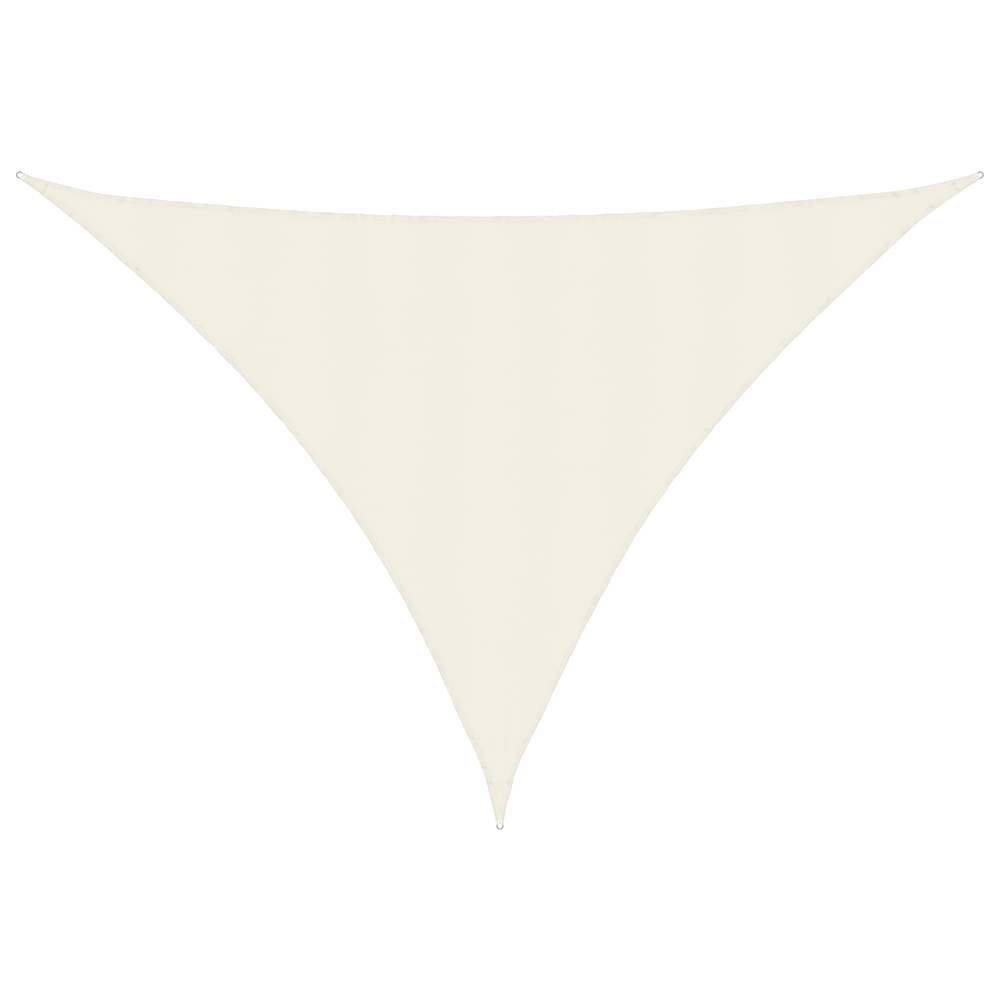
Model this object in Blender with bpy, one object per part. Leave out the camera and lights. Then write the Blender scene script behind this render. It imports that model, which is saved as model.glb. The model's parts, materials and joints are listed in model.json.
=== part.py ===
"""Triangular shade sail of knitted cloth, laid out flat on the ground.

One sheet with three hollow edges and a folded hem, a patch over each corner, two webbing loops
under each patch, and a round steel ring held by each pair of loops.

Frame: +X runs along the long top edge, +Y from the tip towards the top edge, +Z up.
The origin is on the ground, at the middle of the sail's outline.
"""
import math

import bmesh
import bpy
import numpy as np
from mathutils import Vector
from mathutils.geometry import delaunay_2d_cdt

# ---------------------------------------------------------------- driving dimensions, metres
TOP_SPAN = 5.942            # between the centres of the two top rings
SIDE_SPAN = 5.005           # from either top ring to the ring at the tip

CLOTH_THICK = 0.0012
HEM_WIDTH = 0.034
HEM_THICK = 0.0024          # the hem is folded, so it is twice the cloth
HEM_STEP_WIDTH = 0.004      # over which the folded hem drops to the single cloth
PUCKER_RISE = 0.0007        # how much thicker the hem gets where it puckers
PUCKER_OUT = 0.0016         # how far the puckered edge wanders in and out

PATCH_THICK = 0.0008
PATCH_INSET = 0.0015        # from the cloth's edge to the patch's edge
GAP = 0.0003                # between pieces that touch

RING_WIRE = 0.006
RING_MID = 0.0185           # radius of the ring's centre line
WIRE_GAP = 0.0005           # between the wire and the webbing round it

WEB_WIDTH = 0.020
WEB_THICK = 0.0012
WEB_PARTING = 0.002         # between the two loops of one ring
WEB_SPLAY = math.radians(4)
WEB_TAIL = 0.075            # how far the webbing runs in over the cloth
SIDE_RAMP = 0.0065          # over which the patch comes down beside the webbing
END_RAMP = 0.020            # the same past the webbing's ends
RAISE_MARGIN = 0.0006       # of the raised patch round the webbing

EDGE_SPACING = 0.085        # between points along the edges
END_SPACING = 0.026         # the same close to a ring
FIELD_SPACING = 0.120       # between points in the open cloth
CREASE_SPACING = 0.200

DROP = math.sqrt(SIDE_SPAN ** 2 - (TOP_SPAN / 2) ** 2)
RING_AT = {
    "left": Vector((-TOP_SPAN / 2, DROP / 2)),
    "right": Vector((TOP_SPAN / 2, DROP / 2)),
    "tip": Vector((0.0, -DROP / 2)),
}

# Columns: corner, from the ring's centre to the cloth's end, from the ring's centre to the
# patch's inner edge, how far that edge bows inwards.
CORNERS = {
    "left": (0.030, 0.190, 0.008),
    "right": (0.030, 0.178, 0.010),
    "tip": (0.037, 0.275, 0.006),
}

# How wide the cloth's cut-off end is on either side of its middle: towards the corner's first
# edge below, and towards its second.
END_HALVES = {"left": (0.018, 0.027), "right": (0.022, 0.027), "tip": (0.027, 0.023)}

# The hollow edges. Columns: run along the straight line from the first ring to the second,
# depth of the edge inside that line.
EDGE_ROWS = {
    ("left", "right"): (
        (0.10, 0.0155), (0.25, 0.055), (0.50, 0.114), (0.75, 0.141), (1.25, 0.185), (1.80, 0.225),
        (2.40, 0.249), (2.97, 0.255), (3.50, 0.244), (4.10, 0.218), (4.70, 0.167), (5.20, 0.120),
        (5.44, 0.096), (5.70, 0.045), (5.83, 0.0145),
    ),
    ("left", "tip"): (
        (0.10, 0.013), (0.25, 0.055), (0.48, 0.117), (0.80, 0.187), (1.12, 0.256), (1.46, 0.314),
        (1.81, 0.364), (2.18, 0.397), (2.58, 0.410), (3.01, 0.400), (3.49, 0.353), (4.03, 0.260),
        (4.34, 0.189), (4.57, 0.142), (4.71, 0.103), (4.80, 0.067), (4.90, 0.026),
    ),
    ("right", "tip"): (
        (0.11, 0.019), (0.24, 0.065), (0.45, 0.132), (0.62, 0.165), (0.95, 0.226), (1.28, 0.286),
        (1.62, 0.338), (1.99, 0.378), (2.58, 0.405), (3.02, 0.392), (3.51, 0.333), (4.05, 0.243),
        (4.34, 0.184), (4.57, 0.144), (4.71, 0.107), (4.80, 0.070), (4.90, 0.032),
    ),
}

# Soft ridges in the cloth. Columns: start x, start y, end x, end y, bow to the left of that
# line, width, height.
CREASES = {
    # folds left from packing, across the short way
    "pack_fold_1": (-1.545, 1.58, -1.552, 0.98, 0.004, 0.14, 0.0012),
    "pack_fold_2": (-0.970, 1.60, -0.978, 0.25, 0.006, 0.16, 0.0015),
    "pack_fold_3": (-0.388, 1.62, -0.380, -0.70, -0.007, 0.16, 0.0016),
    "pack_fold_4": (0.187, 1.62, 0.180, -1.12, 0.005, 0.16, 0.0016),
    "pack_fold_5": (0.744, 1.60, 0.752, -0.12, -0.006, 0.16, 0.0015),
    "pack_fold_6": (1.295, 1.60, 1.288, 0.70, 0.005, 0.14, 0.0014),
    "pack_fold_7": (1.871, 1.60, 1.876, 1.24, 0.002, 0.12, 0.0011),
    # creases dragged across the middle towards the right side
    "drag_crease_1": (-0.300, 0.560, 0.640, 0.050, 0.035, 0.100, 0.0030),
    "drag_crease_2": (-0.250, 0.130, 0.560, -0.330, 0.030, 0.090, 0.0025),
    "drag_crease_3": (-0.200, -0.430, 0.330, -0.760, 0.020, 0.090, 0.0025),
    # pleats that the pull of the rings leaves at the corners
    "tip_pleat_1": (-0.028, -1.700, -0.120, -1.250, 0.010, 0.044, 0.0016),
    "tip_pleat_2": (0.004, -1.690, 0.018, -1.160, -0.008, 0.048, 0.0020),
    "tip_pleat_3": (0.036, -1.700, 0.150, -1.230, -0.010, 0.044, 0.0016),
    "left_pleat_1": (-2.760, 1.925, -2.250, 1.745, 0.012, 0.044, 0.0018),
    "left_pleat_2": (-2.775, 1.885, -2.360, 1.560, -0.010, 0.040, 0.0018),
    "right_pleat_1": (2.770, 1.930, 2.270, 1.760, -0.012, 0.044, 0.0018),
    "right_pleat_2": (2.780, 1.885, 2.370, 1.590, 0.010, 0.040, 0.0018),
}

WEB_TAIL_LEVEL = HEM_THICK + GAP + WEB_THICK + GAP / 2
WEB_TOP = WEB_TAIL_LEVEL + GAP / 2 + WEB_THICK
WEB_FIRST_ANGLE = WEB_PARTING / 2 / RING_MID
WEB_LAST_ANGLE = WEB_FIRST_ANGLE + WEB_WIDTH / RING_MID
# The ring lies on the ground at its far side and on the webbing under it at the near side.
RING_TILT = math.asin((WIRE_GAP + WEB_THICK) / (RING_MID * (1 + math.cos(WEB_LAST_ANGLE))))
RING_LEVEL = RING_WIRE / 2 + RING_MID * math.sin(RING_TILT)


# ---------------------------------------------------------------- materials
def make_material(name, colour, roughness, metallic=0.0):
    material = bpy.data.materials.new(name)
    material.use_nodes = True
    shader = material.node_tree.nodes["Principled BSDF"]
    shader.inputs["Base Color"].default_value = (*colour, 1.0)
    shader.inputs["Roughness"].default_value = roughness
    shader.inputs["Metallic"].default_value = metallic
    material.diffuse_color = (*colour, 1.0)
    return material


def add_object(name, mesh, material):
    mesh.materials.append(material)
    new = bpy.data.objects.new(name, mesh)
    bpy.context.scene.collection.objects.link(new)
    return new


# ---------------------------------------------------------------- outline
def smooth_through(rows, runs):
    """Cubic through the rows, whose slope at a row comes from the rows beside it."""
    run, depth = np.array(rows).T
    slope = np.gradient(depth, run)
    i = np.clip(np.searchsorted(run, runs) - 1, 0, len(run) - 2)
    width = run[i + 1] - run[i]
    t = (runs - run[i]) / width
    return (
        (1 + 2 * t) * (1 - t) ** 2 * depth[i] + t * (1 - t) ** 2 * width * slope[i]
        + t * t * (3 - 2 * t) * depth[i + 1] - t * t * (1 - t) * width * slope[i + 1]
    )


def edge_frame(edge):
    """The first ring, the direction to the second, the direction inwards, and the span."""
    first, second = (RING_AT[corner] for corner in edge)
    along = (second - first).normalized()
    inwards = Vector((-along.y, along.x))
    if inwards.dot(first) > 0:
        inwards.negate()
    return first, along, inwards, (second - first).length


def edge_row_point(edge, row):
    first, along, inwards, _ = edge_frame(edge)
    run, depth = EDGE_ROWS[edge][row]
    return first + along * run + inwards * depth


def edges_at(corner):
    return [edge for edge in EDGE_ROWS if corner in edge]


def corner_frame(corner):
    """The ring's centre, the direction into the cloth, and the direction to the left of it."""
    ring = RING_AT[corner]
    near = [edge_row_point(edge, 1 if edge[0] == corner else -2) for edge in edges_at(corner)]
    into = ((near[0] + near[1]) / 2 - ring).normalized()
    return ring, into, Vector((-into.y, into.x))


def end_point(corner, edge):
    """Where an edge ends, at the side of the cloth's cut-off end."""
    ring, into, left = corner_frame(corner)
    reach = CORNERS[corner][0]
    side = edge_row_point(edge, 0 if edge[0] == corner else -1) - ring
    half = END_HALVES[corner][edges_at(corner).index(edge)]
    return ring + into * reach + left * math.copysign(half, side.dot(left))


def edge_runs(start, end):
    """Stations along an edge, closer together near its two ends."""
    runs = [start]
    while runs[-1] < end:
        nearest_end = min(runs[-1] - start, end - runs[-1])
        runs.append(runs[-1] + min(EDGE_SPACING, END_SPACING + 0.12 * max(nearest_end, 0.0)))
    runs = np.array(runs)
    return start + (runs - start) * (end - start) / (runs[-1] - start)


def edge_points(edge):
    """The points of one hollow edge, from its first corner to its second."""
    first, along, inwards, span = edge_frame(edge)
    ends = [end_point(corner, edge) - first for corner in edge]
    rows = [(end.dot(along), end.dot(inwards)) for end in ends]
    rows = [rows[0], *EDGE_ROWS[edge], rows[1]]
    runs = edge_runs(rows[0][0], rows[-1][0])
    depth = smooth_through(rows, runs)
    depth += PUCKER_OUT * np.sin(29.0 * runs) * np.sin(math.pi * runs / span)
    return np.array([first + along * run + inwards * deep for run, deep in zip(runs, depth)])


def sail_edges():
    """The three edges, in order anticlockwise seen from above, and the corner each starts at."""
    return (
        ("left", edge_points(("left", "tip"))),
        ("tip", edge_points(("right", "tip"))[::-1]),
        ("right", edge_points(("left", "right"))[::-1]),
    )


# ---------------------------------------------------------------- measuring in the plane
def distance_to_line(points, line):
    """The distance of each point to an open line of straight pieces."""
    start, step = line[:-1], line[1:] - line[:-1]
    away = points[:, None, :] - start[None, :, :]
    share = np.clip((away * step).sum(2) / (step * step).sum(1), 0.0, 1.0)
    return np.linalg.norm(away - share[:, :, None] * step, axis=2).min(axis=1)


def inside(points, outline):
    """True for each point that lies inside a closed outline, by counting crossings."""
    x, y = points[:, :1], points[:, 1:]
    x0, y0 = outline.T
    x1, y1 = np.roll(outline, -1, axis=0).T
    spans = (y0 > y) != (y1 > y)
    rise = np.where(y1 == y0, 1.0, y1 - y0)
    crossing = x0 + (y - y0) * (x1 - x0) / rise
    return (spans & (x < crossing)).sum(axis=1) % 2 == 1


def to_corner(points, corner):
    """Points in a corner's own frame: how far into the cloth, and how far to the left."""
    ring, into, left = corner_frame(corner)
    away = points - np.array(ring)
    return away @ np.array(into), away @ np.array(left)


def from_corner(rows, corner):
    ring, into, left = corner_frame(corner)
    return np.array([ring + into * far + left * side for far, side in rows])


# ---------------------------------------------------------------- heights
def crease_frame(crease):
    x0, y0, x1, y1, bow, width, height = crease
    start = np.array((x0, y0))
    step = np.array((x1 - x0, y1 - y0))
    length = np.linalg.norm(step)
    along = step / length
    return start, along, np.array((-along[1], along[0])), length, bow, width, height


def crease_half_width(share, width):
    return width / 2 * np.sqrt(np.sin(math.pi * np.clip(share, 0.0, 1.0)))


def cloth_lift(points):
    """How high the cloth's underside stands off the ground: the creases, and nothing else."""
    lift = np.zeros(len(points))
    for crease in CREASES.values():
        start, along, across, length, bow, width, height = crease_frame(crease)
        share = np.clip((points - start) @ along / length, 0.0, 1.0)
        side = (points - start) @ across - bow * 4 * share * (1 - share)
        half = np.maximum(crease_half_width(share, width), 1e-6)
        lift += height * np.sin(math.pi * share) * np.clip(1 - np.abs(side) / half, 0.0, 1.0)
    return lift


def cloth_thickness(points, outline):
    """The hem's double thickness at the edge, its puckers, and the single cloth further in."""
    depth = distance_to_line(points, np.vstack([outline, outline[:1]]))
    hem = np.clip(1 - (depth - HEM_WIDTH) / HEM_STEP_WIDTH, 0.0, 1.0)
    pucker = 0.5 + 0.5 * np.sin(37.0 * points[:, 0] + 3.0 * np.sin(23.0 * points[:, 1]))
    for corner, (reach, _, _) in CORNERS.items():
        far, _ = to_corner(points, corner)
        near_ring = np.linalg.norm(points - np.array(RING_AT[corner]), axis=1)
        pucker = pucker * np.clip((near_ring - reach - WEB_TAIL) / WEB_TAIL, 0.0, 1.0)
        hem = np.where(web_cover(points, corner) > 0.0, 1.0, hem)
    return CLOTH_THICK + hem * (HEM_THICK - CLOTH_THICK + PUCKER_RISE * pucker)


def web_middle(far, corner, side):
    """How far to the left the middle of a webbing tail lies."""
    reach = CORNERS[corner][0]
    spread = math.tan(WEB_SPLAY) * np.maximum(far - reach, 0.0)
    return side * ((WEB_PARTING + WEB_WIDTH) / 2 + spread)


def web_cover(points, corner):
    """1 over the two webbing tails of a corner, falling to 0 at the foot of the ramp round them."""
    reach = CORNERS[corner][0]
    far, left = to_corner(points, corner)
    beyond = (far - reach - WEB_TAIL - RAISE_MARGIN) / END_RAMP
    outer = web_middle(far, corner, 1) + WEB_WIDTH / 2 + RAISE_MARGIN
    beside = (np.abs(left) - outer) / SIDE_RAMP
    return np.clip(1 - np.maximum(beyond, beside), 0.0, 1.0)


def patch_underside(points, corner, cloth_top):
    """Just over the cloth, and raised over the webbing that lies between the two."""
    return cloth_top + GAP + web_cover(points, corner) * (WEB_TOP - HEM_THICK)


# ---------------------------------------------------------------- the flat pattern
def hem_lines(edges, outline):
    """Two lines along each edge: the hem's inner edge, and the foot of its step."""
    closed = np.vstack([outline, outline[:1]])
    lines = []
    for depth in (HEM_WIDTH, HEM_WIDTH + HEM_STEP_WIDTH):
        for _, points in edges:
            along = np.gradient(points, axis=0)
            along /= np.linalg.norm(along, axis=1)[:, None]
            line = points + depth * np.column_stack([-along[:, 1], along[:, 0]])
            clear = distance_to_line(line, closed) > depth - 0.0004
            lines.append(line[clear])
    return lines


def crease_lines():
    """The crest and the two feet of each crease."""
    lines = []
    for crease in CREASES.values():
        start, along, across, length, bow, width, _ = crease_frame(crease)
        share = np.linspace(0.0, 1.0, max(5, round(length / CREASE_SPACING) + 1))
        crest = start + np.outer(share * length, along)
        crest += np.outer(bow * 4 * share * (1 - share), across)
        half = np.outer(crease_half_width(share, width), across)
        lines += [crest, crest + half, crest - half]
    return lines


def patch_outline(corner, outline):
    """The patch follows the cloth's two edges, just inside them, and ends in a bowed line."""
    reach, length, bow = CORNERS[corner]
    far, left = to_corner(outline, corner)
    near = np.abs(far) < length + 0.2
    near &= np.linalg.norm(outline - np.array(RING_AT[corner]), axis=1) < length + 0.3
    stations = np.linspace(reach + PATCH_INSET, length, 6)
    sides = []
    for sign in (1, -1):
        rows = sorted((f, s) for f, s in zip(far[near], left[near]) if sign * s > 0)
        run, side = np.array(rows).T
        sides.append(np.interp(stations, run, side) - sign * PATCH_INSET)
    across = np.linspace(1.0, -1.0, 7)[1:-1]
    inner = [(length - bow * (1 - t * t), sides[0][-1] * (1 + t) / 2 + sides[1][-1] * (1 - t) / 2)
             for t in across]
    rows = [*zip(stations, sides[0]), *inner, *zip(stations[::-1], sides[1][::-1])]
    return from_corner(rows[::-1], corner)


def web_outline(corner, ramp):
    """The raised area over the webbing, which starts outside the cloth's end, or its ramp's foot.

    ramp is 0 for the raised area and 1 for the foot of the ramp round it.
    """
    reach = CORNERS[corner][0]
    clear = WEB_WIDTH / 2 + RAISE_MARGIN + ramp * SIDE_RAMP
    stations = np.linspace(reach + ramp * PATCH_INSET * 2 - 0.002 * (1 - ramp),
                           reach + WEB_TAIL + RAISE_MARGIN + ramp * END_RAMP, 3)
    half = web_middle(stations, corner, 1) + clear
    rows = [*zip(stations, half), (stations[-1], 0.0), *zip(stations[::-1], -half[::-1])]
    return from_corner(rows, corner)


def field_points(taken, outline):
    """An even field of points over the open cloth, clear of the lines already there."""
    row_step = FIELD_SPACING * math.sqrt(3) / 2
    x = np.arange(outline[:, 0].min(), outline[:, 0].max(), FIELD_SPACING)
    y = np.arange(outline[:, 1].min(), outline[:, 1].max(), row_step)
    grid_x, grid_y = np.meshgrid(x, y)
    grid_x[1::2] += FIELD_SPACING / 2
    points = np.column_stack([grid_x.ravel(), grid_y.ravel()])
    points = points[inside(points, outline)]
    closed = np.vstack([outline, outline[:1]])
    points = points[distance_to_line(points, closed) > HEM_WIDTH + 0.45 * FIELD_SPACING]
    nearest = np.array([np.linalg.norm(taken - point, axis=1).min() for point in points])
    return points[nearest > 0.5 * FIELD_SPACING]


def flat_pattern():
    """The sail's plan cut into triangles along every line that its height follows."""
    edges = sail_edges()
    outline = np.vstack([points for _, points in edges])
    patches = {corner: patch_outline(corner, outline) for corner in CORNERS}
    rings = [outline, *patches.values()]
    lines = [*hem_lines(edges, outline), *crease_lines()]
    for corner in CORNERS:
        lines += [web_outline(corner, 0.0), web_outline(corner, 1.0)]
    points, links = [], []
    for line in rings + lines:
        first = sum(len(part) for part in points)
        links += [(first + i, first + i + 1) for i in range(len(line) - 1)]
        points.append(line)
    count = 0
    for line in rings:
        links.append((count + len(line) - 1, count))
        count += len(line)
    points.append(field_points(np.vstack(points), outline))
    flat = [Vector(point) for point in np.vstack(points)]
    verts, _, faces, *_ = delaunay_2d_cdt(flat, links, [], 0, 1e-6)
    verts = np.array([tuple(vert) for vert in verts])
    faces = np.array(faces)
    middles = verts[faces].mean(axis=1)
    return verts, faces[inside(middles, outline)], outline, patches


# ---------------------------------------------------------------- sheets
def add_sheet(name, verts, faces, low, high, material):
    """A closed solid between two heights over the same triangles, with walls round its rim."""
    used, faces = np.unique(faces, return_inverse=True)
    faces = faces.reshape(-1, 3)
    a, b, c = (verts[used][faces[:, i]] for i in range(3))
    turn = (b[:, 0] - a[:, 0]) * (c[:, 1] - a[:, 1]) - (b[:, 1] - a[:, 1]) * (c[:, 0] - a[:, 0])
    faces = np.where(turn[:, None] > 0, faces, faces[:, ::-1])
    count = len(used)
    top = np.column_stack([verts[used], high[used]])
    bottom = np.column_stack([verts[used], low[used]])
    sides = {(int(f[i]), int(f[i - 2])) for f in faces for i in range(3)}
    rim = [(a, b, b + count, a + count) for a, b in sides if (b, a) not in sides]
    rim = [(d, c, b, a) for a, b, c, d in rim]
    below = [tuple(int(i) + count for i in face[::-1]) for face in faces]
    mesh = bpy.data.meshes.new(name)
    mesh.from_pydata(np.vstack([top, bottom]).tolist(), [], [*faces.tolist(), *below, *sorted(rim)])
    mesh.update()
    return add_object(name, mesh, material)


def build_cloth(pattern, heights, material):
    verts, faces, _, _ = pattern
    lift, thickness = heights
    return add_sheet("sail_cloth", verts, faces, lift, lift + thickness, material)


def build_patch(corner, pattern, heights, material):
    verts, faces, _, patches = pattern
    lift, thickness = heights
    covered = faces[inside(verts[faces].mean(axis=1), patches[corner])]
    low = patch_underside(verts, corner, lift + thickness)
    name = f"corner_patch_{corner}"
    return add_sheet(name, verts, covered, low, low + PATCH_THICK, material)


# ---------------------------------------------------------------- webbing loops
def web_path(corner, side, share):
    """The middle of the webbing at one place across its width, from tail end to tail end.

    It runs in over the ring's wire, round the wire's inner side and back under itself.
    """
    ring, into, left = corner_frame(corner)
    reach = CORNERS[corner][0]
    around = side * (WEB_FIRST_ANGLE + (WEB_LAST_ANGLE - WEB_FIRST_ANGLE) * share)
    outwards = Vector((math.cos(around) * math.cos(RING_TILT), math.sin(around),
                       math.cos(around) * math.sin(RING_TILT)))
    upwards = Vector((-math.sin(RING_TILT), 0.0, math.cos(RING_TILT)))
    wire = outwards * RING_MID + Vector((0.0, 0.0, RING_LEVEL))
    radius = RING_WIRE / 2 + WIRE_GAP + WEB_THICK / 2
    angles = np.radians(np.linspace(60.0, 300.0, 8))
    loop = [wire + (outwards * math.cos(a) + upwards * math.sin(a)) * radius for a in angles]
    layer = (GAP + WEB_THICK) / 2
    stations = (reach + WEB_TAIL, reach + 0.001, reach - 0.003)
    tails = []
    for sign in (1, -1):
        rows = []
        for far in stations:
            middle = float(web_middle(far, corner, side))
            across = side * (share - 0.5) * WEB_WIDTH
            rows.append(Vector((far, middle + across, WEB_TAIL_LEVEL + sign * layer)))
        tails.append(rows)
    path = [*tails[0], *loop, *tails[1][::-1]]
    plan = Vector((*ring, 0.0)), Vector((*into, 0.0)), Vector((*left, 0.0))
    return [plan[0] + plan[1] * p.x + plan[2] * p.y + Vector((0, 0, p.z)) for p in path]


def build_web(corner, side, material):
    """A strip of even thickness carried along the loop's path, closed at its two tail ends."""
    shares = np.linspace(0.0, 1.0, 5)
    middle = np.array([web_path(corner, side, share) for share in shares])
    along = np.gradient(middle, axis=1)
    across = np.gradient(middle, axis=0)
    normal = np.cross(along, across)
    normal *= side * WEB_THICK / 2 / np.linalg.norm(normal, axis=2)[:, :, None]
    profile = np.concatenate([middle + normal, (middle - normal)[::-1]])
    around, length, _ = profile.shape
    mesh = bpy.data.meshes.new("webbing_loop")
    shape = bmesh.new()
    verts = [[shape.verts.new(profile[i, j]) for i in range(around)] for j in range(length)]
    for j in range(length - 1):
        for i in range(around):
            k = (i + 1) % around
            shape.faces.new((verts[j][i], verts[j][k], verts[j + 1][k], verts[j + 1][i]))
    half = around // 2
    for row in (verts[0], verts[-1]):
        for i in range(half - 1):
            shape.faces.new((row[i], row[i + 1], row[around - 2 - i], row[around - 1 - i]))
    bmesh.ops.recalc_face_normals(shape, faces=shape.faces)
    shape.to_mesh(mesh)
    shape.free()
    mesh.shade_smooth()
    mesh.set_sharp_from_angle(angle=math.radians(50))
    number = 1 if side < 0 else 2
    return add_object(f"webbing_loop_{corner}_{number}", mesh, material)


# ---------------------------------------------------------------- rings
def build_ring(corner, material):
    ring, into, _ = corner_frame(corner)
    bpy.ops.mesh.primitive_torus_add(
        major_segments=28, minor_segments=8, major_radius=RING_MID, minor_radius=RING_WIRE / 2,
        location=(*ring, RING_LEVEL), rotation=(0.0, -RING_TILT, math.atan2(into.y, into.x)))
    new = bpy.context.object
    new.name = f"ring_{corner}"
    new.data.materials.append(material)
    new.data.shade_smooth()
    return new


def main():
    for old in list(bpy.data.objects):
        bpy.data.objects.remove(old, do_unlink=True)
    knit = make_material("knitted_shade_cloth", (0.87, 0.85, 0.75), 0.85)
    patch_cloth = make_material("corner_patch_cloth", (0.86, 0.84, 0.73), 0.85)
    webbing = make_material("white_webbing", (0.93, 0.93, 0.91), 0.7)
    steel = make_material("ring_steel", (0.62, 0.62, 0.63), 0.22, metallic=1.0)

    pattern = flat_pattern()
    verts, _, outline, _ = pattern
    heights = cloth_lift(verts), cloth_thickness(verts, outline)
    build_cloth(pattern, heights, knit)
    for corner in CORNERS:
        build_patch(corner, pattern, heights, patch_cloth)
        for side in (-1, 1):
            build_web(corner, side, webbing)
        build_ring(corner, steel)


main()
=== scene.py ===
"""The looks of a triangular shade sail of knitted cloth, laid out flat and seen from above."""
import json
import math

import bmesh
import bpy
import numpy as np
from bpy.props import FloatProperty, FloatVectorProperty, PointerProperty
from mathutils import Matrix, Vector

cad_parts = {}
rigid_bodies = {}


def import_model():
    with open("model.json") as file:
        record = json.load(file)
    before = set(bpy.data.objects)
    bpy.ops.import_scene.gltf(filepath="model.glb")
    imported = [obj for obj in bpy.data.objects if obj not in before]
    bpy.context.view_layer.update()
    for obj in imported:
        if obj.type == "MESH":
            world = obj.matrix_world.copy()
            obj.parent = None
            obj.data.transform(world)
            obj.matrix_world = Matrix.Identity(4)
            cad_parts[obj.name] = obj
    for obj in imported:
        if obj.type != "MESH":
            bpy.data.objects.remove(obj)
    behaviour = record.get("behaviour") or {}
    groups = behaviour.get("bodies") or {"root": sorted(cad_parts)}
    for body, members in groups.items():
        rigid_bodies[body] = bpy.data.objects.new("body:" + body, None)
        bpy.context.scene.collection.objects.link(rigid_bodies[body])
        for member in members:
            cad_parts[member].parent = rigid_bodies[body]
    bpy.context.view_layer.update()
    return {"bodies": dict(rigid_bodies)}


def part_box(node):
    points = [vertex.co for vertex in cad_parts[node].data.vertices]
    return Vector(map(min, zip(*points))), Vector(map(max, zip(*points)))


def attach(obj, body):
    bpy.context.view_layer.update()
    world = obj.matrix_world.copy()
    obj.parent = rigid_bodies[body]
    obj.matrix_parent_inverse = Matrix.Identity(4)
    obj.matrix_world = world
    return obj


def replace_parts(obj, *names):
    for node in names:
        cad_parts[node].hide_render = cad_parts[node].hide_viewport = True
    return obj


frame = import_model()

bl_info = {
    "name": "Shade Sail",
    "version": (1, 0, 0),
    "blender": (4, 5, 0),
    "location": "3D View > Sidebar > Shade Sail",
    "description": "Builds a hemmed triangular shade sail with ringed corners, and its stage",
    "category": "Add Mesh",
}

BODY = next(iter(frame["bodies"]))

# ---------------------------------------------------------------- the sail's plan, in metres
CORNERS = ("left", "right", "tip")

# From the ring's centre: to the cloth's end, to the patch's inner edge; and that edge's bow.
CLOTH_REACH = {"left": 0.030, "right": 0.030, "tip": 0.037}
PATCH_REACH = {"left": 0.190, "right": 0.178, "tip": 0.275}
PATCH_BOW = {"left": 0.008, "right": 0.010, "tip": 0.006}

# The hollow edges. Columns: run along the straight line from the first ring to the second,
# depth of the edge inside that line.
EDGE_ROWS = {
    ("left", "right"): (
        (0.10, 0.0155), (0.25, 0.055), (0.50, 0.114), (0.75, 0.141), (1.25, 0.185), (1.80, 0.225),
        (2.40, 0.249), (2.97, 0.255), (3.50, 0.244), (4.10, 0.218), (4.70, 0.167), (5.20, 0.120),
        (5.44, 0.096), (5.70, 0.045), (5.83, 0.0145),
    ),
    ("left", "tip"): (
        (0.10, 0.013), (0.25, 0.055), (0.48, 0.117), (0.80, 0.187), (1.12, 0.256), (1.46, 0.314),
        (1.81, 0.364), (2.18, 0.397), (2.58, 0.410), (3.01, 0.400), (3.49, 0.353), (4.03, 0.260),
        (4.34, 0.189), (4.57, 0.142), (4.71, 0.103), (4.80, 0.067), (4.90, 0.026),
    ),
    ("right", "tip"): (
        (0.11, 0.019), (0.24, 0.065), (0.45, 0.132), (0.62, 0.165), (0.95, 0.226), (1.28, 0.286),
        (1.62, 0.338), (1.99, 0.378), (2.58, 0.405), (3.02, 0.392), (3.51, 0.333), (4.05, 0.243),
        (4.34, 0.184), (4.57, 0.144), (4.71, 0.107), (4.80, 0.070), (4.90, 0.032),
    ),
}
EDGES = tuple(EDGE_ROWS)
# Half-widths of the cloth's end: towards the corner's first edge, and towards its second.
END_HALVES = {"left": (0.018, 0.027), "right": (0.022, 0.027), "tip": (0.027, 0.023)}
EDGE_WANDER = 0.0016                # how far an edge strays from the cubic through its rows
EDGE_WANDER_RATE = 29.0             # radians a metre

# Soft ridges in the cloth. Columns: start x, start y, end x, end y, bow to the left of that
# line, width, height.
CREASES = (
    # folds left from packing, across the short way
    (-1.545, 1.58, -1.552, 0.98, 0.004, 0.14, 0.0012),
    (-0.970, 1.60, -0.978, 0.25, 0.006, 0.16, 0.0015),
    (-0.388, 1.62, -0.380, -0.70, -0.007, 0.16, 0.0016),
    (0.187, 1.62, 0.180, -1.12, 0.005, 0.16, 0.0016),
    (0.744, 1.60, 0.752, -0.12, -0.006, 0.16, 0.0015),
    (1.295, 1.60, 1.288, 0.70, 0.005, 0.14, 0.0014),
    (1.871, 1.60, 1.876, 1.24, 0.002, 0.12, 0.0011),
    # creases dragged across the middle towards the right side
    (-0.300, 0.560, 0.640, 0.050, 0.035, 0.100, 0.0030),
    (-0.250, 0.130, 0.560, -0.330, 0.030, 0.090, 0.0025),
    (-0.200, -0.430, 0.330, -0.760, 0.020, 0.090, 0.0025),
    # pleats that the pull of the rings leaves at the corners
    (-0.028, -1.700, -0.120, -1.250, 0.010, 0.044, 0.0016),
    (0.004, -1.690, 0.018, -1.160, -0.008, 0.048, 0.0020),
    (0.036, -1.700, 0.150, -1.230, -0.010, 0.044, 0.0016),
    (-2.760, 1.925, -2.250, 1.745, 0.012, 0.044, 0.0018),
    (-2.775, 1.885, -2.360, 1.560, -0.010, 0.040, 0.0018),
    (2.770, 1.930, 2.270, 1.760, -0.012, 0.044, 0.0018),
    (2.780, 1.885, 2.370, 1.590, 0.010, 0.040, 0.0018),
)
CREASE_SHARPNESS = 2.0              # of the bell across a crease, in half widths
SWELL_HEIGHT = 0.0010               # of the cloth's slow unevenness
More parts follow.
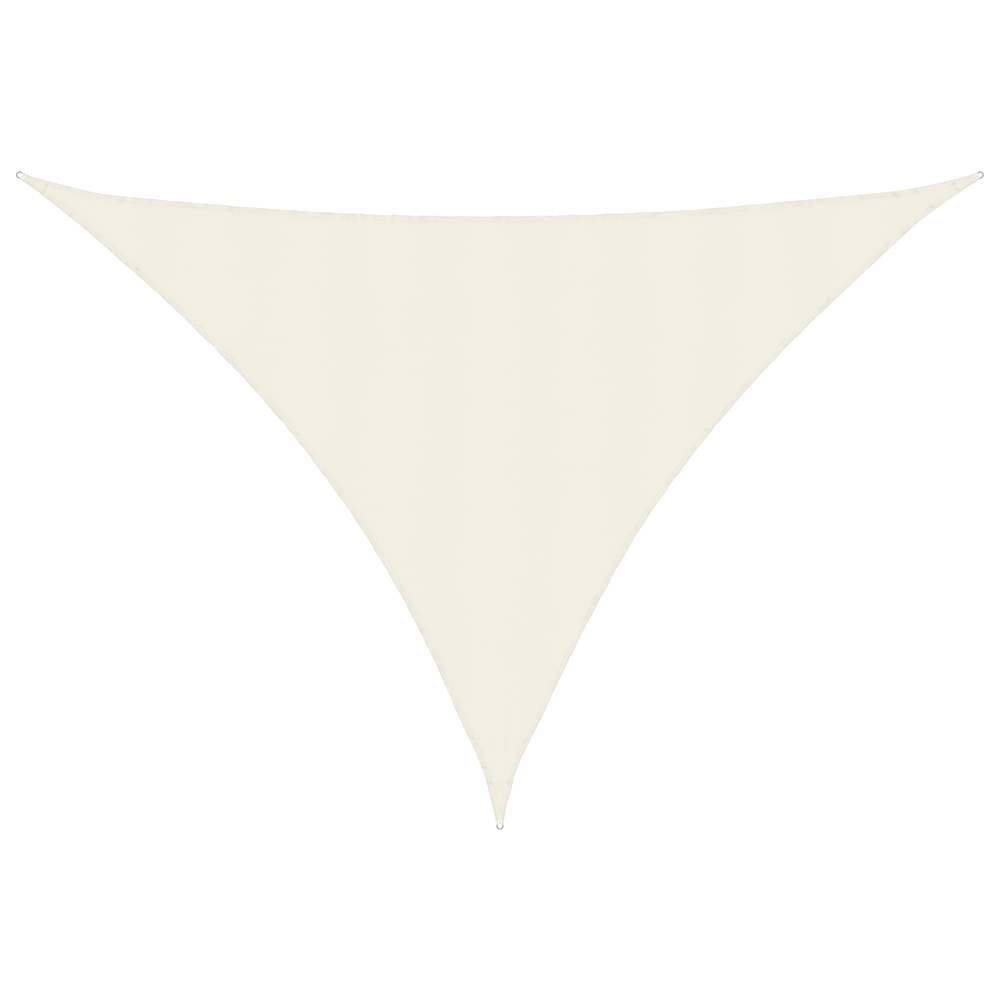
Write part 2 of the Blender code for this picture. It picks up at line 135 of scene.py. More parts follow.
SWELL_CLEAR = (0.35, 0.75)          # from a ring: where the unevenness starts, and is whole
# Its two waves, along x and along y. Columns: rate in radians a metre, how far its phase strays in
# radians, and the rate of that straying in the other direction.
SWELL_WAVES = ((7.0, 0.8, 2.1), (9.5, 1.1, 1.7))

# ---------------------------------------------------------------- the hem
# Its section. Columns: distance from the edge in hem widths, height in hem thicknesses.
STITCH_ROW = (0.860, 0.93)
HEM_SECTION = (
    (0.080, 0.00), (0.025, 0.10), (0.000, 0.40), (0.010, 0.72), (0.040, 0.92), (0.100, 1.00),
    (0.170, 1.02), (0.240, 1.03), (0.320, 1.03), (0.420, 1.03), (0.580, 1.02), (0.720, 1.00),
    (0.800, 0.97), STITCH_ROW, (0.920, 0.96), (1.000, 0.93),
)
# Past the hem. Columns: distance in hem widths and then in borders, share of the step left.
SHOULDER = ((1.08, 0.70), (1.18, 0.36), (1.32, 0.12), (1.50, 0.00), (1.75, 0.00))
BORDER_WIDTH = 0.060                # past the hem, where the cloth still puckers
HEM_ROOM, BORDER_ROOM = 0.9, 0.6    # the most that each may take of the way left to the spine
UNDER_ROWS = (0.35, 0.95, 1.50)     # of the underside near the edge, in hem widths and borders
GATHER_FOOT = 0.5                   # height in hem thicknesses from which a gather is whole

# Gathers that the seam leaves along the edges: the ranges from which each is drawn.
PUCKER_GAP = (0.030, 0.100)
PUCKER_HEIGHT = (0.0005, 0.0024)
PUCKER_WIDTH = (0.003, 0.015)
PUCKER_REACH = (0.035, 0.085)
PUCKER_LEAN = (-0.5, 0.5)
# A gather's painted shade on one flank; below 0 it is a painted highlight.
PUCKER_PAINTED_SHADE = (-0.04, 0.08)
PUCKER_NEAR = (3, 0.06)             # how far along it counts: its widths, and metres more
PUCKER_FLANK = (1.5, 1.2)           # its shade beside its height: sharpness, and shift in widths
STITCH_HOLD = 0.5                   # share of a gather's height that the stitches take away
STITCH_GRIP = 0.004                 # how far to either side of them they do so
PATCH_CLEAR = (0.02, 0.05)          # past a patch: where gathers start, and over which they grow
SPINE_CLEAR = 0.030                 # over which a gather fades out before the spine
SEED = 7

# Darker places at the hem's stitches: where the thread is doubled, and painted shade where a small
# fold is caught.
# Columns: run along the straight line, length, shade.
SPOT_ROWS = {
    ("left", "right"): ((1.07, 0.030, 0.08), (5.41, 0.018, 0.09)),
    ("left", "tip"): (
        (0.73, 0.025, 0.06), (0.90, 0.018, 0.14), (1.47, 0.016, 0.10), (2.31, 0.016, 0.10),
        (3.46, 0.020, 0.09), (4.46, 0.020, 0.11),
    ),
    ("right", "tip"): (
        (0.34, 0.013, 0.14), (0.69, 0.020, 0.09), (1.18, 0.016, 0.09), (3.01, 0.016, 0.10),
        (3.51, 0.018, 0.11), (4.48, 0.020, 0.12),
    ),
}
SPOT_SPREAD = 0.009                 # to either side of the stitches

# Slow waves along the edges, in which the hem's shades grow and fade: the range of their lengths,
# and how many are added up.
WAVER_LENGTH = (0.05, 0.60)
WAVER_COUNT = 16
WAVERS_AN_EDGE = 4                  # for the rim, the hem's tone, the seam's tone and its wander

# How much darker the cloth is: painted shade at its rims, where the rolled hem turns from the light, a
# darker tone over the hem, a darker line at the stitches, and painted shade round the tacks, where
# they pinch the cloth. How much darker the webbing is: painted shade in its outer half, where it turns
# down round the ring, and along its inner selvedge, in the gap between the two loops. Beside them, in
# metres, stand how far in the rim's shade lies, how wide each shade is, and how far the line at the
# stitches strays. The wavers of the rim and the hem are shares, by which slow waves change them.
RIM_PAINTED_SHADE = dict(zip(EDGES, (0.052, 0.072, 0.044)))
RIM_AT, RIM_FADE, RIM_WAVER = 0.0085, 0.0060, 0.35
HEM_SHADE, HEM_FADE, HEM_WAVER = 0.014, 0.025, 0.6
SEAM_SHADE, SEAM_SPREAD, SEAM_WAVER = 0.020, 0.0045, 0.0025
TACK_PAINTED_SHADE = {"left": 0.00, "right": 0.05, "tip": 0.06}
TACK_SPREAD = 0.009
TACK_STRETCH = 2                    # how much further that shade reaches along than across
# Painted shade at a patch's rim, and along its inner edge.
PATCH_RIM_GAIN = 1.3                # a patch's rim, beside the hem's
PATCH_END_PAINTED_SHADE = 0.015
WEB_OUTER_PAINTED_SHADE, WEB_INNER_PAINTED_SHADE = 0.28, 0.10
WEB_OUTER_START, WEB_INNER_SPREAD = 0.40, 0.12   # as shares of the webbing's width

# ---------------------------------------------------------------- how finely the pieces are made
EDGE_COLUMNS = 224                  # coarse columns along an edge
FINE_COLUMNS = 4                    # in the hem, for each coarse one
END_CLOSENESS = 0.25                # how much closer the columns are at an edge's ends
FIELD_ROWS, FIELD_POWER = 26, 0.9   # from the border to the spine, and the power that spaces them
SPINE_POINT = (0.0, 0.93)           # where the three inner lines meet
EDGE_SAMPLES, EDGE_PAST = 4000, 0.3     # points of an edge read at a corner, up to this past a patch
PATCH_GRID = (120, 61)              # points away from the ring, and across
PATCH_CUTS = 50                     # widths of a patch that its flat size is taken from
WEB_GRID = (17, 26)                 # points across the webbing, and round the wire
RING_GRID = (144, 32)               # points round the ring, and round the wire
ROW_POINTS = 60                     # of a row of stitches on a patch
JOIN_WITHIN = 2e-6                  # points that are closer than this are one
SHARP_ANGLE = math.radians(60)      # between two faces, past which their edge stays sharp

# ---------------------------------------------------------------- corner hardware, in metres
GAP = 0.0003                        # between two layers that lie on each other
HEM_LEVEL = 0.0024                  # of the hem's top, on which the webbing lies
RING_WIRE = 0.006
RING_MID = 0.0185                   # radius to the middle of the wire
WIRE_GAP = 0.0005                   # between the wire and the webbing round it
WEB_THICK = 0.0012
WEB_WIDTH = 0.020
WEB_PARTING = 0.002                 # between a corner's two loops
WEB_SPLAY = math.radians(4)
WEB_TAIL = 0.075                    # in over the cloth from its end
WEB_WRAP = (62.0, 298.0)            # degrees round the wire, from its side away from the ring's middle
WEB_LEAVE = (0.004, -0.001, -0.004)     # from the cloth's end: points where the webbing leaves it
SELVEDGE_POWER, SELVEDGE_THINNING = 8, 0.75
SIDE_RAMP, END_RAMP = 0.0065, 0.020     # of the patch, beside and beyond the webbing under it
HEM_RAMP = 0.012                    # of the patch, down from the hem
RAISE_MARGIN = 0.0006               # round the webbing, before those ramps start
PATCH_THICK = 0.0008
PATCH_INSET = 0.0015                # of the patch's outline, inside the cloth's

# Ridges that fan out over a patch: how many, the ranges from which each is drawn, the share of
# the patch's width that they fan out over, and how far from the cloth's end they are whole.
RIDGE_COUNT = 5
RIDGE_HEIGHT = (0.0002, 0.0009)
RIDGE_WIDTH = (0.03, 0.07)          # radians, seen from the ring
RIDGE_FAN = 0.8
RIDGE_START = 0.06
RIDGE_SEED = SEED + 10

WEB_FIRST_ANGLE = WEB_PARTING / 2 / RING_MID
WEB_LAST_ANGLE = WEB_FIRST_ANGLE + WEB_WIDTH / RING_MID
RING_TILT = math.asin((WIRE_GAP + WEB_THICK) / (RING_MID * (1 + math.cos(WEB_LAST_ANGLE))))
RING_LEVEL = RING_WIRE / 2 + RING_MID * math.sin(RING_TILT)
# Where each ring is welded, seen from its middle, how far its bead stands out there, in radii of
# the wire, and the bead's half-width in radians.
WELD_WAY = {"left": (-0.07, 1.0), "right": (1.0, 0.1), "tip": (-1.0, -0.1)}
WELD_BEAD = {"left": 1.15, "right": 0.20, "tip": 0.30}
WELD_WIDTH = 0.20
WELD_DULLNESS = 1.1                 # half-widths of the bead that its paler steel reaches
# The groove either side: where it lies in half-widths of the bead, its depth in radii of the wire,
# and its own half-width in radians.
GROOVE_AT, GROOVE_DEPTH, GROOVE_WIDTH = 1.8, 0.03, 0.03

# ---------------------------------------------------------------- stitching, in metres
SIDE_SEAM = 0.006                   # inside the cloth's two sides and its end
END_SEAMS = (0.005, 0.010)          # from a patch's inner edge towards the ring, one row each
SEAM_PARTING = 0.004                # between a patch's inner edge and the rows that run up to it
BOX_INSETS = (0.008, 0.006)         # of the box of stitches, from the cloth's end and the webbing's
BOX_HALF = 0.0075
TACK_START, TACK_LENGTH = 0.024, 0.020      # it starts this far short of the patch's inner edge
TACK_HALF, TACK_TURNS = 0.002, 20   # half the width of its zigzag, and how many turns that takes
TACK_PITCH = 0.0016

# ---------------------------------------------------------------- fine patterns, in metres
WALE_SPACING, COURSE_SPACING = 0.0032, 0.0026
RIB_SPACING, PICK_SPACING = 0.0013, 0.0016
BAND_SPACING, BAND_MIDDLE = 0.575, -0.09

# The knitted cloth's tone, and what is added to it where each mask of a group is 1.
CLOTH_TONE = 0.994
# Band adds painted light and shade in upright bands between the folds left from packing.
DRIFT_TONES = {"Tone": 0.016, "Band": 0.007}
# Gaps adds painted shade in the hollows of the knit.
KNIT_TONES = {"Streaks": 0.024, "Gaps": -0.05}
HEM_GATHERS = (70.0, 22.0, 0.0)     # fine gathers a metre, along the hem and across it
HEM_GATHER_HEIGHT = 4.0             # in heights of the knit
HEM_GATHER_REACH = 0.03             # to either side of the stitches

# ---------------------------------------------------------------- the photograph's view
PHOTO_WIDTH_M = 6.187               # what the picture's width covers on the ground
CAMERA_AT = (0.0008, 0.0029, 14.0)
SENSOR_MM = 36.0
FLOOR_HALF = 400.0
LAMP_TURN = 0.35                    # the lamp's lean towards the top edge, beside that to the left


# ================================================================ settings
def length_property(name, description, default, low, high):
    """A length in metres that the panel offers."""
    return FloatProperty(name=name, description=description, default=default, min=low, max=high,
                         subtype="DISTANCE", unit="LENGTH", precision=4)


def colour_property(name, description, default):
    """A colour that the panel offers."""
    return FloatVectorProperty(name=name, description=description, default=default, size=3,
                               min=0.0, max=1.0, subtype="COLOR")


class SailSizes(bpy.types.PropertyGroup):
    """Sizes of the cloth and its sewing."""

    cloth_thick: length_property(
        "Cloth thickness", "Thickness of the single knitted cloth", 0.0012, 0.0005, 0.003)
    hem_width: length_property(
        "Hem width", "Width of the folded hem along the three edges", 0.034, 0.010, 0.080)
    hem_thick: length_property(
        "Hem thickness", "Thickness of the folded hem", 0.0024, 0.001, 0.006)
    stitch_pitch: length_property(
        "Stitch pitch", "Distance from one stitch to the next", 0.0052, 0.002, 0.020)
    stitch_length: length_property(
        "Stitch length", "Length of thread that shows in one stitch", 0.0042, 0.001, 0.018)
    thread_thick: length_property(
        "Thread thickness", "Thickness of the sewing thread", 0.0009, 0.0003, 0.002)
    wale_spacing: length_property(
        "Wale spacing", "Distance between two knitted chains", WALE_SPACING, 0.001, 0.010)
    course_spacing: length_property(
        "Course spacing", "Distance between two rows of knitted loops", COURSE_SPACING, 0.001, 0.010)


class SailColours(bpy.types.PropertyGroup):
    """Colours of the cloth, webbing, thread, rings and floor."""

    cloth: colour_property("Cloth", "Colour of the knitted cloth", (0.733, 0.718, 0.631))
    patch: colour_property("Patch", "Colour of the doubled cloth", (0.717, 0.708, 0.615))
    webbing: colour_property("Webbing", "Colour of the woven loops", (0.86, 0.86, 0.85))
    thread: colour_property("Thread", "Colour of the sewing thread", (0.66, 0.64, 0.55))
    steel: colour_property("Steel", "Colour of the polished rings", (0.22, 0.22, 0.22))
    floor: colour_property("Floor", "Colour of the studio floor", (0.90, 0.90, 0.90))


class SailLight(bpy.types.PropertyGroup):
    """The soft light of the stage."""

    sky: FloatProperty(name="Sky", description="Strength of the even light from all round",
                       default=0.25, min=0.0, max=5.0)
    lamp: FloatProperty(name="Lamp", description="Strength of the broad lamp overhead",
                        default=3.03, min=0.0, max=20.0)
    slant: FloatProperty(name="Slant", description="How far the lamp leans to the left",
                         default=math.radians(8), min=0.0, max=1.5, subtype="ANGLE")
    breadth: FloatProperty(name="Breadth", description="Angle that the lamp fills",
                           default=math.radians(80), min=0.0, max=3.0, subtype="ANGLE")


# ================================================================ plan of the edges
def ring_centre(corner):
    """The middle of the ring's box in the frame, in plan."""
    low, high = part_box(f"ring_{corner}")
    return np.array([(low[0] + high[0]) / 2, (low[1] + high[1]) / 2])


RING_AT = {corner: ring_centre(corner) for corner in CORNERS}


def unit(vector):
    """The vector over its length."""
    return vector / np.linalg.norm(vector)


def smooth_step(t):
    """0 below 0, 1 above 1, and 3t^2 - 2t^3 between."""
    t = np.clip(t, 0.0, 1.0)
    return t * t * (3 - 2 * t)


def bell(t):
    """The bell curve, e to the power of -t^2."""
    return np.exp(-np.square(t))


def smooth_through(rows, runs):
    """Cubic through the rows: on each stretch a Hermite curve whose end slopes are the slopes
    between the neighbouring rows."""
    run, depth = np.array(rows).T
    slope = np.gradient(depth, run)
    i = np.clip(np.searchsorted(run, runs) - 1, 0, len(run) - 2)
    width = run[i + 1] - run[i]
    t = (runs - run[i]) / width
    return (
        (1 + 2 * t) * (1 - t) ** 2 * depth[i] + t * (1 - t) ** 2 * width * slope[i]
        + t * t * (3 - 2 * t) * depth[i + 1] - t * t * (1 - t) * width * slope[i + 1]
    )


def edge_frame(edge):
    """The first ring, the direction to the second, the direction inwards, and the span."""
    first, second = (RING_AT[corner] for corner in edge)
    along = unit(second - first)
    inwards = np.array([-along[1], along[0]])
    if inwards @ first > 0:
        inwards = -inwards
    return first, along, inwards, np.linalg.norm(second - first)


def edge_row_point(edge, row):
    """The point that one of an edge's rows gives, in plan."""
    first, along, inwards, _ = edge_frame(edge)
    run, depth = EDGE_ROWS[edge][row]
    return first + along * run + inwards * depth


def edges_at(corner):
    """The two edges that meet at a corner."""
    return [edge for edge in EDGES if corner in edge]


def corner_frame(corner):
    """The ring's centre, the direction into the cloth, and the direction to the left of it."""
    near = [edge_row_point(edge, 1 if edge[0] == corner else -2) for edge in edges_at(corner)]
    into = unit((near[0] + near[1]) / 2 - RING_AT[corner])
    return RING_AT[corner], into, np.array([-into[1], into[0]])


def to_corner(x, y, corner):
    """Points in a corner's own frame: how far into the cloth, and how far to the left."""
    ring, into, left = corner_frame(corner)
    dx, dy = x - ring[0], y - ring[1]
    return dx * into[0] + dy * into[1], dx * left[0] + dy * left[1]


def from_corner(far, left_of, z, corner):
    """The reverse of to_corner, with a height, as points in space."""
    ring, into, left = corner_frame(corner)
    x = ring[0] + far * into[0] + left_of * left[0]
    y = ring[1] + far * into[1] + left_of * left[1]
    return np.stack(np.broadcast_arrays(x, y, z), axis=-1)


def end_point(corner, edge):
    """Where an edge ends, at the side of the cloth's cut-off end."""
    ring, into, left = corner_frame(corner)
    side = edge_row_point(edge, 0 if edge[0] == corner else -1) - ring
    half = END_HALVES[corner][edges_at(corner).index(edge)]
    return ring + into * CLOTH_REACH[corner] + left * math.copysign(half, side @ left)


def edge_points(edge, shares):
    """A hollow edge: the line between two rings, moved inwards by the cubic through its rows and
    by a small sine that fades at its ends. shares go from 0 at its first end to 1."""
    first, along, inwards, span = edge_frame(edge)
    ends = [end_point(corner, edge) - first for corner in edge]
    rows = [(end @ along, end @ inwards) for end in ends]
    rows = [rows[0], *EDGE_ROWS[edge], rows[1]]
    run = rows[0][0] + (rows[-1][0] - rows[0][0]) * shares
    depth = smooth_through(rows, run)
    depth = depth + EDGE_WANDER * np.sin(EDGE_WANDER_RATE * run) * np.sin(math.pi * run / span)
    return first + np.outer(run, along) + np.outer(depth, inwards)


def edge_shares(columns):
    """Shares of an edge's length, somewhat closer near its ends: t less a part of a sine."""
    t = np.linspace(0.0, 1.0, columns + 1)
    return t - END_CLOSENESS * np.sin(2 * math.pi * t) / (2 * math.pi)


# ================================================================ heights
def cloth_lift(x, y):
    """How high the cloth stands off the ground: for each crease a bell across it, whose height
    and width follow a half sine along it, and a slow swell, the product of two sines."""
    lift = np.zeros(np.shape(x))
    for x0, y0, x1, y1, bow, width, height in CREASES:
        length = math.hypot(x1 - x0, y1 - y0)
        ax, ay = (x1 - x0) / length, (y1 - y0) / length
        share = np.clip(((x - x0) * ax + (y - y0) * ay) / length, 0.0, 1.0)
        side = (y - y0) * ax - (x - x0) * ay - bow * 4 * share * (1 - share)
        grown = np.sin(math.pi * share)
        lift += height * grown * bell(CREASE_SHARPNESS * side / (width * np.sqrt(grown) + 1e-6))
    away = np.min([np.hypot(x - ring[0], y - ring[1]) for ring in RING_AT.values()], axis=0)
    waves = [np.sin(rate * at + stray * np.sin(stray_rate * aside))
             for (rate, stray, stray_rate), at, aside in zip(SWELL_WAVES, (x, y), (y, x))]
    clear = smooth_step((away - SWELL_CLEAR[0]) / (SWELL_CLEAR[1] - SWELL_CLEAR[0]))
    return lift + SWELL_HEIGHT / 2 * (1 + waves[0] * waves[1]) * clear


def seam_depth(sizes):
    """How far inside the edge the hem's stitches lie."""
    return STITCH_ROW[0] * sizes.hem_width


def pucker_rows(edge):
    """One row for each gather of an edge: run, height, width, reach, lean, painted shade."""
    rng = np.random.default_rng(SEED + EDGES.index(edge))
    span = edge_frame(edge)[3]
    run = np.cumsum(rng.uniform(*PUCKER_GAP, size=int(span / PUCKER_GAP[0])))
    run = run[run < span]
    ranges = (PUCKER_HEIGHT, np.log(PUCKER_WIDTH), PUCKER_REACH, PUCKER_LEAN, PUCKER_PAINTED_SHADE)
    rise, width, reach, lean, shade = [rng.uniform(*limits, len(run)) for limits in ranges]
    return np.column_stack([run, rise, np.exp(width), reach, lean, shade])


def puckers(edge, run, depth, sizes):
    """Height and painted shade of the gathers that the seam leaves: a sum of bells along the edge,
    which lean over, fade inwards, are held down at the stitches and stop short of the patches. A
    gather's painted shade lies on one of its flanks, and where it is lighter it is a painted
    highlight."""
    height, shade = np.zeros(depth.shape), np.zeros(depth.shape)
    sharpness, shift = PUCKER_FLANK
    for at, rise, width, reach, lean, dark in pucker_rows(edge):
        near = np.abs(run - at) < PUCKER_NEAR[0] * width + PUCKER_NEAR[1]
        side = (run[near, None] - at - lean * depth[near]) / width
        fade = 1 - smooth_step(depth[near] / reach)
        height[near] += rise * bell(side) * fade
        shade[near] += dark * bell(sharpness * side - shift) * fade
    span = edge_frame(edge)[3]
    gap, grow = PATCH_CLEAR
    starts = [PATCH_REACH[corner] + gap for corner in edge]
    clear = smooth_step((run - starts[0]) / grow) * smooth_step((span - run - starts[1]) / grow)
    held = 1 - STITCH_HOLD * bell((depth - seam_depth(sizes)) / STITCH_GRIP)
    return height * held * clear[:, None], shade * clear[:, None]


def painted_rim_shade(edge, depth):
    """Painted shade close to a sheet's outer edge, where its rolled rim turns from the light: a bell
    just inside it.
    """
    return RIM_PAINTED_SHADE[edge] * bell((depth - RIM_AT) / RIM_FADE)


def waver(run, stream):
    """A slow random wave along an edge, of unit spread: a sum of sines of drawn lengths."""
    rng = np.random.default_rng((SEED, stream))
    rates = 2 * math.pi / np.exp(rng.uniform(*np.log(WAVER_LENGTH), WAVER_COUNT))
    phases = rng.uniform(0.0, 2 * math.pi, WAVER_COUNT)
    return np.sin(run[:, None] * rates + phases).sum(axis=1) * math.sqrt(2 / WAVER_COUNT)


def hem_shade(edge, run, depth, sizes):
    """How much darker the hem is: painted shade at its rim, a tone that ends past its inner side, a
    wandering line at its stitches, and a bell for each darker place there. The first three grow and
    fade in slow waves of their own."""
    first = WAVERS_AN_EDGE * EDGES.index(edge)
    rim, band, seam, shift = (waver(run, first + k)[:, None] for k in range(WAVERS_AN_EDGE))
    from_seam = depth - seam_depth(sizes)
    within = 1 - smooth_step((depth - sizes.hem_width) / HEM_FADE)
    line = bell((from_seam - SEAM_WAVER * shift) / SEAM_SPREAD)
    spots = sum(dark * bell((run - at) / length) for at, length, dark in SPOT_ROWS[edge])
    return (
        painted_rim_shade(edge, depth) * (1 + RIM_WAVER * rim)
        + HEM_SHADE * (1 + HEM_WAVER * band) * within
        + SEAM_SHADE * np.maximum(1 + seam, 0.0) * line
        + spots[:, None] * bell(from_seam / SPOT_SPREAD)
    )


def cloth_side(corner, edge, far):
    """How far to the left an edge of the cloth lies at each distance from the ring."""
    fine = edge_points(edge, np.linspace(0.0, 1.0, EDGE_SAMPLES))
    fine_far, left = to_corner(fine[:, 0], fine[:, 1], corner)
    near = np.hypot(fine_far, left) < PATCH_REACH[corner] + EDGE_PAST
    order = np.argsort(fine_far[near])
    return np.interp(far, fine_far[near][order], left[near][order])


def cloth_sides(corner, far):
    """The same for both edges at a corner, the right one first."""
    sides = [cloth_side(corner, edge, far) for edge in edges_at(corner)]
    return sorted(sides, key=lambda side: float(np.ravel(side)[0]))


def tack_places(corner, sizes):
    """Where the end of the corner's patch crosses the hem's stitches, on either side."""
    far = PATCH_REACH[corner]
    low, high = cloth_sides(corner, far)
    inset = seam_depth(sizes)
    return (far, float(low) + inset), (far, float(high) - inset)


def painted_tack_shade(far, left, corner, sizes):
    """Painted shade round the two tacks, where they pinch the cloth: long bells that point to the
    ring.
    """
    bells = sum(bell(np.hypot((far - at) / TACK_STRETCH, left - aside) / TACK_SPREAD)
                for at, aside in tack_places(corner, sizes))
    return TACK_PAINTED_SHADE[corner] * bells


# ================================================================ meshes
def make_piece(name, verts, faces, material, shade=None, strip=None):
    """One mesh object at the origin, which rides with the sail and takes the material given.

    shade holds a number for each point, and strip a place in metres. Points that coincide are
    joined, faces are turned outwards, and sharp edges stay sharp.
    """
    mesh = bpy.data.meshes.new(name)
    mesh.from_pydata(verts.reshape(-1, 3).tolist(), [], faces)
    mesh.update()
    if shade is not None:
        layer = mesh.attributes.new("shade", "FLOAT", "POINT")
        layer.data.foreach_set("value", shade.ravel().astype(np.float32))
    if strip is not None:
        corners = np.empty(len(mesh.loops), dtype=np.int32)
        mesh.loops.foreach_get("vertex_index", corners)
        layer = mesh.uv_layers.new(name="strip")
        layer.data.foreach_set("uv", strip.reshape(-1, 2)[corners].ravel())
    shape = bmesh.new()
    shape.from_mesh(mesh)
    bmesh.ops.remove_doubles(shape, verts=shape.verts, dist=JOIN_WITHIN)
    bmesh.ops.recalc_face_normals(shape, faces=shape.faces)
    shape.to_mesh(mesh)
    shape.free()
    mesh.shade_smooth()
    mesh.set_sharp_from_angle(angle=SHARP_ANGLE)
    mesh.materials.append(material)
    piece = bpy.data.objects.new(name, mesh)
    bpy.context.scene.collection.objects.link(piece)
    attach(piece, BODY)
    return piece


def grid_faces(rows, columns, first=0, close=False):
    """Quads of a grid of rows by columns; close joins the last row to the first."""
    last = rows if close else rows - 1
    i, j = np.meshgrid(np.arange(last), np.arange(columns - 1), indexing="ij")
    i2 = (i + 1) % rows
    quads = [i * columns + j, i2 * columns + j, i2 * columns + j + 1, i * columns + j + 1]
    return (np.stack(quads, axis=-1).reshape(-1, 4) + first).tolist()


# ---------------------------------------------------------------- the cloth
def spine_points(corner, columns):
    """The line from the middle of a corner's end to the meeting point: half way between the two
    edges, drawn over to the meeting point with the square of the share of the way."""
    shares = edge_shares(columns)[: columns // 2 + 1]
    sides = [edge_points(edge, shares if edge[0] == corner else 1 - shares)
             for edge in edges_at(corner)]
    middle = (sides[0] + sides[1]) / 2
    way = np.linspace(0.0, 1.0, len(shares))[:, None]
    return middle + (np.array(SPINE_POINT) - middle[-1]) * way ** 2


def strip_grid(edge, columns, rows, sizes):
    """A grid over one edge's third of the sail, from the edge to the spine.

    rows are (distance, height) pairs. Distance is in hem widths up to 1, in borders up to 2, and
    up to 3 in what is left. Height is in hem thicknesses, over the cloth's lift, and gathers are
    added on top of it. Gives the points, their shade, and their run along the edge and depth.
    """
    outer = edge_points(edge, edge_shares(columns))
    first, second = (spine_points(corner, columns) for corner in edge)
    inner = np.vstack([first, second[-2::-1]])
    way = np.linalg.norm(inner - outer, axis=1)
    direction = (inner - outer) / way[:, None]
    along = np.gradient(outer, axis=0)
    along /= np.linalg.norm(along, axis=1)[:, None]
    square = np.abs(direction[:, 0] * along[:, 1] - direction[:, 1] * along[:, 0])
    hem = np.minimum(sizes.hem_width / square, HEM_ROOM * way)
    border = hem + np.minimum(BORDER_WIDTH / square, BORDER_ROOM * (way - hem))
    knots = np.stack([np.zeros_like(way), hem, border, way], axis=1)
    distance, height = np.array(rows).T
    whole = np.clip(np.floor(distance).astype(int), 0, 2)
    depth = knots[:, whole] + (knots[:, whole + 1] - knots[:, whole]) * (distance - whole)
    x, y = (outer[:, k, None] + depth * direction[:, k, None] for k in (0, 1))
    start, chord, _, _ = edge_frame(edge)
    run = (outer - start) @ chord
    clear = smooth_step((way[:, None] - depth) / SPINE_CLEAR)
    # Painted light and shade on the gathers' flanks.
    gathers, flank_light_and_shade = (part * clear for part in puckers(edge, run, depth, sizes))
    z = cloth_lift(x, y) + height * sizes.hem_thick + smooth_step(height / GATHER_FOOT) * gathers
    points = np.stack([x, y, z], axis=-1)
    place = np.stack([np.broadcast_to(run[:, None], depth.shape), depth], axis=-1)
    shade = hem_shade(edge, run, depth, sizes) + flank_light_and_shade
    # Painted shade round the tacks of both corners.
    shade += sum(painted_tack_shade(*to_corner(x, y, corner), corner, sizes) for corner in edge)
    return [part.swapaxes(0, 1) for part in (points, shade, place)]


def cloth_strip(edge, sizes, first):
    """One third of the sail: the hem's section and its shoulder in fine columns, and the field
    above and below in coarse ones, joined by faces with one coarse and several fine sides."""
    single = sizes.cloth_thick / sizes.hem_thick
    step = HEM_SECTION[-1][1] - single
    fine_rows = [*HEM_SECTION, *((distance, single + share * step) for distance, share in SHOULDER)]
    field = 2.0 + np.linspace(0.0, 1.0, FIELD_ROWS) ** FIELD_POWER
    top_rows = [(distance, single) for distance in field]
    under_rows = [(distance, 0.0) for distance in (*UNDER_ROWS, *field)]
    parts = [strip_grid(edge, EDGE_COLUMNS * FINE_COLUMNS, fine_rows, sizes),
             strip_grid(edge, EDGE_COLUMNS, top_rows, sizes),
             strip_grid(edge, EDGE_COLUMNS, under_rows, sizes)]
    faces, index = [], []
    for points, _, _ in parts:
        rows, columns, _ = points.shape
        faces += grid_faces(rows, columns, first)
        index.append(first + np.arange(rows * columns).reshape(rows, columns))
        first += rows * columns
    fine, top, under = index
    for fine_row, coarse_row in ((fine[-1], top[0]), (fine[0], under[0])):
        fans = [coarse_row[:-1], *(fine_row[k: len(fine_row) - FINE_COLUMNS + k: FINE_COLUMNS]
                                   for k in range(FINE_COLUMNS)),
                fine_row[FINE_COLUMNS::FINE_COLUMNS], coarse_row[1:]]
        faces += np.stack(fans, axis=-1).tolist()
    for column in (0, -1):
        faces.append(np.concatenate([fine[:, column], top[:, column],
                                     under[::-1, column]]).tolist())
    return [np.concatenate([part[k].reshape(-1, *part[k].shape[2:]) for part in parts])
            for k in range(3)], faces


def build_cloth(sizes, material):
    """The sail as one closed sheet: three strips, one to each hollow edge, that meet in a spine."""
    strips, faces, count = [], [], 0
    for edge in EDGES:
        strip, strip_faces = cloth_strip(edge, sizes, count)
        strips.append(strip)
        faces += strip_faces
        count += len(strip[0])
    points, shade, place = (np.concatenate([strip[k] for strip in strips]) for k in range(3))
    piece = make_piece("sail_cloth_fine", points, faces, material, shade, place)
    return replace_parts(piece, "sail_cloth")


# ---------------------------------------------------------------- the corner patches
def web_middle(far, corner, side):
    """How far to the left the middle of a webbing tail lies."""
    spread = math.tan(WEB_SPLAY) * np.maximum(far - CLOTH_REACH[corner], 0.0)
    return side * ((WEB_PARTING + WEB_WIDTH) / 2 + spread)


def web_cover(far, left, corner):
    """1 over either webbing tail, and less over the ramp round it, down to 0 at its foot."""
    beyond = (far - CLOTH_REACH[corner] - WEB_TAIL - RAISE_MARGIN) / END_RAMP
    aside = np.abs(np.abs(left) - web_middle(far, corner, 1))
    beside = (aside - WEB_WIDTH / 2 - RAISE_MARGIN) / SIDE_RAMP
    return smooth_step(1 - np.maximum(beyond, beside))


def corner_ridges(far, left, corner):
    """Low ridges that fan out from the ring: a sum of bells across the angle seen from it, which
    grow from the cloth's end."""
    rng = np.random.default_rng(RIDGE_SEED + CORNERS.index(corner))
    low, high = cloth_sides(corner, PATCH_REACH[corner])
    spread = RIDGE_FAN * (high - low) / PATCH_REACH[corner] / 2
    total = np.zeros(np.shape(far))
    for _ in range(RIDGE_COUNT):
        at, rise, width = (rng.uniform(*limits) for limits in
                           ((-spread, spread), RIDGE_HEIGHT, RIDGE_WIDTH))
        total += rise * bell((left / far - at) / width)
    return total * smooth_step((far - CLOTH_REACH[corner]) / RIDGE_START)


